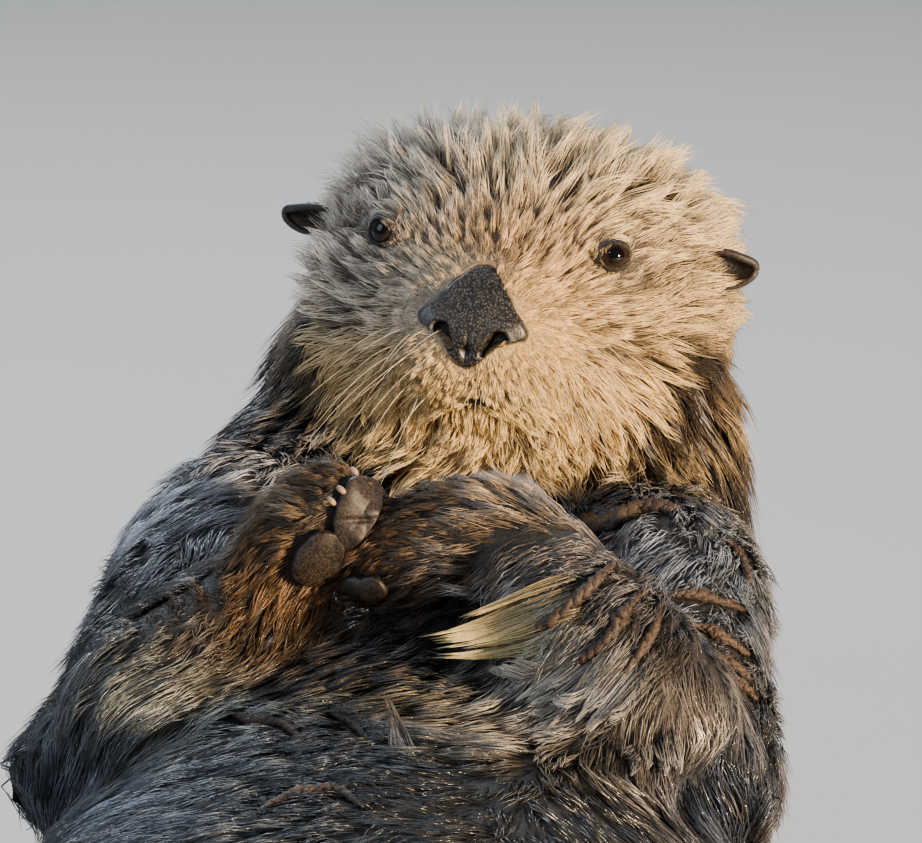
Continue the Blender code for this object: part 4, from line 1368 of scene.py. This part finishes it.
def make_ears(skin):
    """Each ear: a curled leaf, a rim, and short hair on its back."""
    paint = Paint("ear_leather", roughness=0.5)
    fine = paint.noise(700.0, 4)
    paint.colour(paint.attribute("ear_tone"), paint.greys(fine, (0.3, 0.5), (0.7, 1.5)))
    paint.relief(fine, 0.6, 0.0006)
    hairs = []
    for side in (LEFT, RIGHT):
        name = "ear_" + SIDE_NAMES[side]
        front, rear, share, bearing = ear_sheets(side)
        layer = EAR_ROWS * EAR_SPOKES
        last = layer - EAR_SPOKES
        faces = []
        for row in range(0, last, EAR_SPOKES):
            faces += band(row, row + EAR_SPOKES, EAR_SPOKES)
            faces += [part[:, ::-1] for part in band(layer + row, layer + row + EAR_SPOKES, EAR_SPOKES)]
        faces = np.vstack(faces + band(last, layer + last, EAR_SPOKES))
        if side == LEFT:
            faces = faces[:, ::-1]
        inside = ramp(share, 0.35, 0.80) * 0.5 * ramp(-np.sin(bearing), -0.2, 0.6)
        inside = np.concatenate([inside, 0 * inside])
        tone = mixed(np.tile((0.012, 0.009, 0.008), (2 * layer, 1)), (0.20, 0.15, 0.10), inside)
        points, rim_faces = ear_rim(front)
        dark = np.tile((0.020, 0.014, 0.012), (len(points), 1))
        add_mesh(name + "_rim", points, rim_faces, paint.material, layers={"ear_tone": dark})
        add_mesh(
            name + "_leaf",
            from_head(np.vstack([front, rear])),
            faces,
            paint.material,
            layers={"ear_tone": tone},
            replaced=(name,),
        )
        chance = np.random.default_rng(SEEDS["ears"] + side)
        picks = chance.choice(np.nonzero((share > 0.25) & (share < 0.99))[0], EAR_HAIRS)
        start = rear[picks] + chance.normal(0, 0.3, (EAR_HAIRS, 3))
        round_ear = bearing[picks]
        outward = np.stack([side * np.cos(round_ear), np.full(EAR_HAIRS, -0.1), np.sin(round_ear)], axis=1)
        flow = outward * 0.5 + np.array((side * 0.8, 0.25, -0.15)) + chance.normal(0, 0.18, (EAR_HAIRS, 3))
        s = np.linspace(0, 1, 4)[None, :, None]
        long = chance.uniform(0.8, 1.8, EAR_HAIRS)[:, None, None]
        straight = start[:, None] + unit(flow)[:, None] * s * long
        hairs.append(from_head(straight + np.array((0, 0.5, -0.4)) * s**2))
    hairs = np.vstack(hairs)
    widths = np.tile(np.array((0.40, 0.38, 0.28, 0.1)) * MM, (len(hairs), 1))
    shades = np.exp(np.random.default_rng(SEEDS["ear_fur"]).normal(0, 0.25, (len(hairs), 1, 1)))
    tones = np.array((0.060, 0.042, 0.030)) * shades * np.ones((1, 4, 1))
    add_strands(skin, "ear_fur", hairs, widths, tones, coat_paint("short_ear_fur", 0.5, 0.0, 0.3))


# Cords, fringes, pads, claws and whiskers.


def tubes(paths, widths, sides=5, relief=None):
    """Closed tapered tubes along paths of equal step count, as points and triangles.

    `relief` swells or narrows a tube at each step and side.
    """
    paths = np.asarray(paths)
    count, steps = paths.shape[:2]
    ahead = unit(np.gradient(paths, axis=1))
    side = unit(np.cross(ahead, (0.13, 0.31, 0.94)))
    up = np.cross(side, ahead)
    angle = (np.arange(sides) / sides * 2 * math.pi)[:, None]
    circle = side[:, :, None] * np.cos(angle) + up[:, :, None] * np.sin(angle)
    half = np.asarray(widths)[..., None, None] / 2
    if relief is not None:
        half = half * np.asarray(relief)[..., None]
    rings = paths[:, :-1, None] + circle[:, :-1] * half[:, :-1]
    points = np.concatenate([rings.reshape(count, -1, 3), paths[:, -1:], paths[:, :1]], axis=1)
    pattern = []
    for ring in range(steps - 2):
        for k in range(sides):
            a, b = ring * sides + k, ring * sides + (k + 1) % sides
            pattern += [(a, b, b + sides), (a, b + sides, a + sides)]
    tip, base, last = (steps - 1) * sides, (steps - 1) * sides + 1, (steps - 2) * sides
    for k in range(sides):
        pattern += [(last + k, last + (k + 1) % sides, tip), ((k + 1) % sides, k, base)]
    per = points.shape[1]
    faces = np.array(pattern)[None] + np.arange(count)[:, None, None] * per
    return points.reshape(-1, 3), faces.reshape(-1, 3)


def seen(skin, across, up):
    """The place and normal of the skin that the camera sees so many mm right and up of the head's middle."""
    middle = np.array(VIEW_MIDDLE)
    eye = middle - RIGHTWARD * VIEW_LEFT - UPWARD * VIEW_BELOW - AHEAD * VIEW_DISTANCE
    aim = unit(middle + (RIGHTWARD * across + UPWARD * up) * MM - eye)
    spot, _, face, _ = skin.tree.ray_cast(Vector(eye), Vector(aim))
    if spot is None:
        return seen(skin, across * 0.98, up)
    return np.array(spot), unit(skin.normals[skin.faces[face]].mean(axis=0))


def laid(skin, points, steps, carried=False):
    """A path on the skin under a curve the camera sees, and its normals: the longest run that does not jump.

    A carried path goes on in the air where the skin falls away.
    """
    curve = curve_through(points, 6 * steps)
    found = [seen(skin, across, up) for across, up in curve]
    places, normals = (np.array([pair[k] for pair in found]) for k in range(2))
    jumps = np.linalg.norm(np.diff(places, axis=0), axis=1) > 2.0 * MM
    if carried and jumps.any():
        first = np.argmax(jumps)
        moved = (curve[first + 1 :] - curve[first]) * MM
        places[first + 1 :] = places[first] + moved[:, :1] * RIGHTWARD + moved[:, 1:] * UPWARD
        normals[first + 1 :] = normals[first]
        jumps[:] = False
    stops = np.concatenate([[0], np.nonzero(jumps)[0] + 1, [len(places)]])
    longest = np.argmax(np.diff(stops))
    at = np.linspace(stops[longest], stops[longest + 1] - 1, steps).round().astype(int)
    return places[at], unit(normals[at])


def curve_through(points, steps):
    """Even steps along a smooth curve through the points."""
    points = np.asarray(points, float)
    ends = np.vstack([2 * points[0] - points[1], points, 2 * points[-1] - points[-2]])
    at = np.linspace(0, len(points) - 1, steps)
    k = np.minimum(at.astype(int), len(points) - 2)
    t = (at - k)[:, None]
    a, b, c, d = (ends[k + shift] for shift in range(4))
    return 0.5 * (2 * b + (c - a) * t + (2 * a - 5 * b + 4 * c - d) * t**2 + (3 * b - a - 3 * c + d) * t**3)


def add_strands(skin, name, paths, widths, tones, material, sides=3, relief=None):
    """Solid strands along paths, as a piece of the coat: `widths` and `tones` at each step of each path."""
    points, faces = tubes(paths, widths, sides, relief)
    paths, tones = np.asarray(paths), np.asarray(tones)
    steps = paths.shape[1]
    tones = np.concatenate([np.repeat(tones[:, :-1], sides, axis=1), tones[:, -1:], tones[:, :1]], axis=1)
    face, share = skin.nearest(paths[:, 0])
    home = np.einsum("ij,ijk->ik", share, skin.corners[face])
    around = np.concatenate([np.tile(np.arange(sides) / (sides - 1), steps - 1), [0.5, 0.5]])
    along = np.concatenate([np.repeat(np.arange(steps - 1) / (steps - 1), sides), [1.0, 0.0]])
    patch = np.stack([around, along], axis=1) * PATCH_SIZE
    patches = (home[:, None, :] + patch[None]).reshape(-1, 2)[faces.ravel()]
    add_mesh(name, points, faces, material, layers={"fur_tone": tones.reshape(-1, 3)}, patches=patches)


# Twists of crimped underfur where the long hair has parted: points right and up of the head's middle as the
# camera sees them, and thickness (mm).
CORDS = (
    (((34, -99), (24, -109), (11, -120), (-2, -126)), 4.2),
    (((44, -109), (38, -117), (30, -128), (19, -136)), 4.0),
    (((50, -114), (47, -125), (38, -138)), 3.2),
    (((15, -103), (6, -106), (-3, -112), (-12, -117)), 2.6),
    (((20, -83), (32, -86), (44, -80), (58, -80)), 5.6),
    (((48, -112), (58, -110), (70, -112), (81, -116)), 3.2),
    (((50, -123), (60, -121), (70, -124), (82, -132)), 3.4),
    (((54, -131), (64, -130), (74, -134), (84, -142)), 3.0),
    (((66, -138), (76, -140), (85, -148)), 2.8),
    (((74, -90), (79, -97), (82, -106)), 3.2),
    (((-104, -153), (-96, -156), (-85, -157), (-78, -163)), 3.2),
    (((-94, -189), (-82, -183), (-66, -181), (-56, -187)), 3.2),
    (((-70, -152), (-60, -157), (-52, -166)), 2.4),
)


# Narrow partings with nothing but shadow in them, the last of them the mouth: points as above, and width.
SLITS = (
    (((-142, -104), (-142, -116), (-142, -129)), 3.4),
    (((-134, -110), (-134, -119), (-132, -128)), 3.4),
    (((-127, -105), (-127, -113), (-125, -121)), 2.8),
    (((-119, -107), (-118, -113), (-117, -119)), 2.8),
    (((-147, -99), (-148, -110)), 2.8),
    (((-134, -91), (-131, -97)), 3.2),
    (((-112, -97), (-110, -106), (-107, -117)), 3.4),
    (((54, -81), (56, -87), (56, -92)), 3.0),
    (((66, -90), (66, -94)), 2.0),
    (((81, -88), (82, -94)), 3.4),
    (((82, -97), (84, -102)), 4.0),
    (((85, -106), (86, -113)), 2.6),
    (((-33, -120), (-24, -124), (-20, -132), (-24, -140)), 6.0),
    (((-22, -37.6), (-17.6, -39.2), (-12.2, -40.4), (-7.5, -43.6), (-3.5, -48.5)), 3.6),
)


def make_cords(skin):
    """Cords of three strands twisted together, each strand crimped along its length."""
    paint = Paint("crimped_underfur", roughness=0.55)
    fine = paint.noise(1500.0, 3)
    shade = paint.steps(fine, (0.35, (0.45, 0.42, 0.40)), (0.65, (1.6, 1.5, 1.45)))
    paint.colour(paint.attribute("fur_tone"), shade)
    paint.relief(fine, 0.8, 0.0006)
    chance = np.random.default_rng(SEEDS["cords"])
    paths, widths, tones, relief = [], [], [], []
    steps, sides = 54, 7
    s = np.linspace(0, 1, steps)
    for points, thick in CORDS:
        path, normals = laid(skin, points, steps)
        path = path + normals * (0.5 + 0.22 * thick) * MM
        across = unit(np.cross(np.gradient(path, axis=0), normals))
        long = np.linalg.norm(path[-1] - path[0])
        swell = np.exp(np.interp(s, np.linspace(0, 1, 9), chance.normal(0, 0.16, 9)))
        full = thick * 1.25 * MM * np.sin(math.pi * (0.05 + 0.90 * s)) ** 0.55 * swell
        start, pitch = chance.uniform(0, 6), chance.uniform(9.0, 15.0) * MM
        shade = chance.uniform(0.6, 1.15)
        for strand in range(3):
            angle = start + strand * 2.094 + 2 * math.pi * s * long / pitch + 0.5 * np.sin(9 * s + start)
            orbit = across * np.cos(angle)[:, None] + normals * np.sin(angle)[:, None]
            paths.append(path + orbit * (full * 0.17)[:, None])
            widths.append(full * 0.74 * (1 + 0.12 * np.sin(31 * s + strand * 2 + start)))
            curls = long / chance.uniform(0.0018, 0.0026)
            spin = np.arange(sides) / sides * 2 * math.pi
            twist = np.sin(2 * math.pi * s[:, None] * curls + 2.0 * spin[None] + chance.uniform(0, 6))
            relief.append(1 + 0.24 * twist + chance.normal(0, 0.05, (steps, sides)))
            # Painted light and shade: each strand is lighter where it turns outward on the cord and darker
            # where it turns under.
            lit = chance.uniform(0.6, 1.3, steps) * (0.50 + 0.50 * np.sin(angle))
            tones.append(np.array((0.060, 0.035, 0.021)) * np.maximum(lit, 0.08)[:, None] * shade)
    add_strands(skin, "underfur_cords", paths, widths, tones, paint.material, sides, relief)


# Fringes of long hair that lie over the rest: points as above, half widths at the root and the tip, how far
# they stand off the coat at both, the locks and the hairs of each, and the colours of root and tip.
FRINGES = (
    (((22, -110), (5, -116), (-12, -121), (-28, -124)), (10.5, 4.0), (-2.2, 5.0), (9, 26),
     ((0.20, 0.160, 0.090), (0.72, 0.60, 0.31))),
    (((24, -118), (6, -125), (-9, -129), (-24, -130)), (7.0, 2.0), (-2.2, 6.0), (6, 22),
     ((0.20, 0.160, 0.090), (0.72, 0.60, 0.31))),
    (((24, -118), (10, -128), (-4, -137), (-15, -144)), (11.0, 8.0), (-2.5, 3.2), (11, 22),
     ((0.200, 0.187, 0.165), (0.70, 0.64, 0.51))),
    (((34, -126), (20, -138), (8, -149), (-2, -157)), (11.0, 9.0), (-2.5, 1.5), (11, 22),
     ((0.190, 0.180, 0.168), (0.72, 0.67, 0.58))),
    (((46, -128), (34, -142), (25, -155), (16, -166)), (10.0, 9.0), (-2.5, 1.5), (10, 20),
     ((0.160, 0.155, 0.150), (0.62, 0.59, 0.54))),
    (((-38, -174), (-44, -165), (-51, -149)), (4.6, 2.2), (-4.0, 5.0), (4, 30),
     ((0.015, 0.014, 0.013), (0.13, 0.120, 0.110))),
    (((40, -160), (42, -170), (36, -182)), (6.0, 4.0), (-2.0, 4.0), (4, 12),
     ((0.04, 0.038, 0.038), (0.34, 0.33, 0.32))),
    (((52, -158), (54, -168), (48, -180)), (5.0, 3.0), (-2.0, 4.0), (4, 12),
     ((0.04, 0.038, 0.038), (0.40, 0.39, 0.38))),
)


def make_fringes(skin):
    """Fringes of separate long hairs, which gather to their locks' points and end at different lengths."""
    chance = np.random.default_rng(SEEDS["fringes"])
    paths, widths, tones = [], [], []
    steps = 8
    s = np.linspace(0, 1, steps)[:, None]
    for points, (wide, narrow), (low, high), (locks, hairs), (root, tip) in FRINGES:
        guide, normal = laid(skin, points, steps, carried=True)
        side = unit(np.cross(np.gradient(guide, axis=0), normal))
        for lock in range(locks):
            middle_place = (lock + chance.uniform(0.2, 0.8)) / locks * 2 - 1
            start, end = chance.uniform(0.0, 0.30), chance.uniform(0.66, 1.0)
            bend, shade = chance.normal(0, 0.10), math.exp(chance.normal(0, 0.22))
            proud = chance.uniform(-0.9, 0.9)
            for _ in range(hairs):
                place = chance.uniform(-1.9, 1.9) / locks
                first = start + chance.uniform(-0.10, 0.14)
                run = first + (end * chance.uniform(0.90, 1.0) - first) * s
                at = np.clip(run[:, 0], 0, 1) * (steps - 1)
                middle = np.stack([np.interp(at, np.arange(steps), line) for line in guide.T], axis=1)
                own_place = place * (1 - 0.92 * s**2.2) + bend * s + 0.03 * np.sin(6 * run + place)
                spread = (wide + (narrow - wide) * run) * (middle_place + own_place)
                rise = 3.4 + low + (high - low + proud) * ramp(s, -0.1, 1.1) + chance.uniform(-0.4, 0.6)
                paths.append(middle + (side * spread + normal * rise) * MM)
                widths.append(0.36 * MM * (1 - 0.8 * s[:, 0] ** 1.8) * chance.uniform(0.8, 1.25))
                glow = ramp(s, 0.05, 0.95)
                tone = np.array(root) * (1 - glow) + np.array(tip) * glow
                tones.append(limited(tone * shade * math.exp(chance.normal(0, 0.14))))
    paint = coat_paint("long_wet_hair", 0.34, 0.5, 0.2)
    add_strands(skin, "long_fringes", paths, widths, tones, paint)


# Forepaw pads: middle as above and outline from it (mm), how proud they stand, and their colour.
PADS = {
    "right_palm_pad": (
        (-58.3, -79.2),
        ((-2.9, 11.5), (3.0, 11.2), (6.8, 9.0), (8.2, 3.4), (7.2, -1.5), (5.0, -5.3), (2.5, -8.6),
         (-1.0, -12.2), (-4.4, -13.8), (-7.9, -12.2), (-8.6, -6.0), (-8.0, -0.5), (-6.4, 4.6), (-4.6, 8.2)),
        1.0, (0.034, 0.024, 0.019),
    ),
    "right_wrist_pad": (
        (-73.4, -95.8),
        ((3.4, 10.4), (9.6, 8.0), (9.2, -0.6), (2.5, -5.8), (-3.6, -8.6), (-8.2, -5.4), (-7.2, 0.7),
         (-3.6, 6.1)),
        1.0, (0.033, 0.023, 0.017),
    ),
    "left_palm_pad": (
        (-55.5, -106.5),
        ((-7.0, 3.0), (0.0, 4.0), (7.5, 2.5), (9.0, -1.0), (5.0, -4.0), (-2.0, -4.5), (-8.0, -2.0)),
        1.0, (0.024, 0.016, 0.012),
    ),
}


def pad_outline(outline, bearing):
    """How far the outline is from its middle in each direction."""
    outline = np.array(outline, float)
    angle = np.arctan2(outline[:, 1], outline[:, 0])
    order = np.argsort(angle)
    far = np.hypot(outline[order, 0], outline[order, 1])
    return np.interp(bearing, angle[order], far, period=2 * math.pi)


# How far the pads' edges stand off the skin (mm), and the step back that means a paw's edge is passed (m).
PAD_BED = 3.6
PAD_EDGE_DROP = 0.0025


def make_pads(skin):
    """Pebbled pads on the paws. Past a paw's edge, a pad goes on from its last place on the skin."""
    paint = Paint("paw_pad_leather", roughness=0.52)
    cells = paint.cells(1250.0)
    # Painted highlight and shade: pebble tops lighter, the crevices between them dark.
    shade = paint.greys(cells, (0.05, 1.9), (0.42, 0.75), (0.75, 0.12))
    patchy = paint.steps(paint.noise(160.0, 3), (0.35, (0.6, 0.58, 0.55)), (0.65, (1.3, 1.3, 1.3)))
    paint.colour(paint.attribute("pad_tone"), shade, patchy)
    paint.relief(cells, -1.0, 0.0012)
    rings, spokes = 22, 64
    bearing = np.arange(spokes) / spokes * 2 * math.pi
    for name, ((x, y), outline, proud, colour) in PADS.items():
        far = pad_outline(outline, bearing)
        far = (far * 2 + np.roll(far, 1) + np.roll(far, -1)) / 4
        rows = [(k / rings, proud * (1 - (k / rings) ** 3.2)) for k in range(1, rings + 1)]
        rows += [(1.03, -1.2), (1.02, -3.0)]
        middle, normal = seen(skin, x, y)
        points = [middle + normal * (PAD_BED + proud) * MM]
        held, held_share = [(middle, normal)] * spokes, 0.0
        for share, rise in rows:
            for spoke, (angle, reach) in enumerate(zip(bearing, far)):
                across, above = math.cos(angle), math.sin(angle)
                spot, own = seen(skin, x + across * reach * share, y + above * reach * share)
                before, before_own = held[spoke]
                if (spot - before) @ AHEAD > PAD_EDGE_DROP:
                    outward = RIGHTWARD * across + UPWARD * above + AHEAD * 0.8
                    spot, own = before + outward * (share - held_share) * reach * MM, before_own
                held[spoke] = (spot, own)
                stand = unit(own * 0.5 + normal)
                if "palm" in name:
                    crease = 0.8 * math.exp(-((share * reach * above + 3.0) ** 2))
                else:
                    crease = 0
                points.append(spot + stand * (PAD_BED + rise - crease) * MM)
            held_share = share
        points.append(middle + normal * 0.2 * MM)
        faces = capped(len(rows), spokes)
        tones = np.tile(np.array(colour), (len(points), 1))
        add_mesh(name, points, faces, paint.material, layers={"pad_tone": tones})


# The hind feet as the flesh nodes have them: heel, length, width and the angles they stand at.
HEEL = (0.106, -0.2892, 0.026)
FOOT_LENGTH, FOOT_WIDTH = 0.185, 0.108
FOOT_RISE, FOOT_SPLAY, FOOT_CANT = math.radians(47), math.radians(16), math.radians(20)


def toe_tip(side, u):
    """The path of the claw at the tip of a toe, `u` across the foot from -1 to 1."""
    outward = np.array((side * math.sin(FOOT_SPLAY), -math.cos(FOOT_SPLAY), 0))
    along = outward * math.cos(FOOT_RISE) + np.array((0, 0, math.sin(FOOT_RISE)))
    level = np.array((side * math.cos(FOOT_SPLAY), math.sin(FOOT_SPLAY), 0))
    face = np.cross(level, along) * side
    across = unit(level * math.cos(FOOT_CANT) + face * math.sin(FOOT_CANT))
    normal = unit(np.cross(across, along)) * -side
    reach = FOOT_LENGTH * (0.80 + 0.17 * u) * 1.012 * 0.95
    tip = np.array((side * HEEL[0], HEEL[1], HEEL[2])) + along * reach + across * (u * FOOT_WIDTH / 2)
    s = np.linspace(0, 1, 12)[:, None]
    return tip + along * (-3.0 + 9.0 * s) * MM + normal * (1.2 - 1.6 * s**2) * MM


# The roots of the forepaw's claws, right and up of the head's middle as the camera sees them (mm).
FOREPAW_CLAWS = ((-62.0, -67.6), (-65.6, -71.0), (-68.8, -75.0))


def make_claws(skin):
    """The claws of the right forepaw that stand out of the fur, and those of the hind feet."""
    paint = Paint("claw_horn", roughness=0.35, coat_weight=0.3, coat_roughness=0.2)
    fine = paint.noise(900.0, 3)
    paint.colour(paint.steps(fine, (0.3, (0.24, 0.14, 0.085)), (0.7, (0.46, 0.30, 0.20))))
    paint.relief(fine, 0.4, 0.0002)
    paths, widths = [], []
    s = np.linspace(0, 1, 12)
    for across, up in FOREPAW_CLAWS:
        spot, normal = seen(skin, across, up)
        start = spot + normal * 4.6 * MM
        along = seen(skin, across + 2.6, up - 2.4)[0] + normal * 5.2 * MM - start
        bend = normal * (0.9 * MM)
        paths.append(start + along * s[:, None] + bend * np.sin(math.pi * s)[:, None])
        widths.append(2.3 * MM * np.sqrt(np.maximum(1 - (2 * s - 0.9) ** 2 / 1.25, 0.02)))
    points, faces = tubes(paths, widths, 10)
    add_mesh("claws_forepaw_right", points, faces, paint.material)
    for side in (LEFT, RIGHT):
        paths = [toe_tip(side, u) for u in (-0.8, -0.4, 0.0, 0.4, 0.8)]
        widths = [3.0 * MM * np.sqrt(np.maximum(1 - s**1.6, 0.02))] * 5
        points, faces = tubes(paths, widths, 10)
        add_mesh("claws_hind_foot_" + SIDE_NAMES[side], points, faces, paint.material)


def make_whiskers(skin):
    """Drooping whiskers in rows on the whisker pads, and a few hairs over the mouth's slit."""
    paint = Paint("whisker_horn", roughness=0.35)
    fine = paint.noise(300.0, 2)
    paint.colour(paint.steps(fine, (0.3, (0.62, 0.52, 0.36)), (0.7, (0.80, 0.72, 0.56))))
    chance = np.random.default_rng(SEEDS["whiskers"])
    paths, widths = [], []
    for side in (LEFT, RIGHT):
        for row in range(5):
            for column in range(6):
                if chance.uniform() < 0.42:
                    continue
                start = np.array((side * (15 + 4.6 * column), -90.0, -13 - 5.4 * row + 0.8 * column))
                start = start + chance.normal(0, 1.3, 3)
                hit = skin.tree.ray_cast(Vector(from_head(start)), Vector(HEAD_AXES @ np.array((0, 1.0, 0))))
                if hit[0] is None:
                    continue
                root = to_head([hit[0]])[0]
                length = chance.uniform(14, 44) * (0.75 + 0.07 * column)
                out = np.array((side * (0.55 + 0.13 * column), -0.75 + 0.10 * column, -0.30 - 0.12 * row))
                out = unit(out + chance.normal(0, 0.16, 3))
                droop = np.array((side * chance.normal(0.2, 0.15), 0.35, -1.0)) * chance.uniform(0.25, 0.8)
                s = np.linspace(0, 1, 10)[:, None]
                path = root + out * length * s * 0.95 + droop * length * s**2 + out * -1.0
                paths.append(from_head(path))
                widths.append(np.linspace(0.34, 0.06, 10) * MM * chance.uniform(0.7, 1.1))
    for _ in range(6):
        spot, normal = seen(skin, chance.uniform(-21, -8), chance.uniform(-37, -33))
        lean = chance.uniform(-1, 1)
        down = HEAD_AXES @ unit(np.array((lean, -0.5, -1.0)))
        bend = HEAD_AXES @ np.array((-lean, 0.2, -0.3))
        s = np.linspace(0, 1, 10)[:, None]
        length = chance.uniform(6, 10) * MM
        paths.append(spot + normal * 3.0 * MM + down * length * s + bend * length * 0.8 * s**2)
        widths.append(np.linspace(0.22, 0.05, 10) * MM)
    points, faces = tubes(paths, widths)
    add_mesh("whiskers", points, faces, paint.material)


def main():
    add_camera()
    add_studio()
    skin = make_skin()
    skin.partings = part_coat(skin)
    show_skin(skin)
    grow_coat(skin)
    make_eyes()
    make_nose()
    make_ears(skin)
    make_pads(skin)
    make_claws(skin)
    make_cords(skin)
    make_fringes(skin)
    make_whiskers(skin)


main()
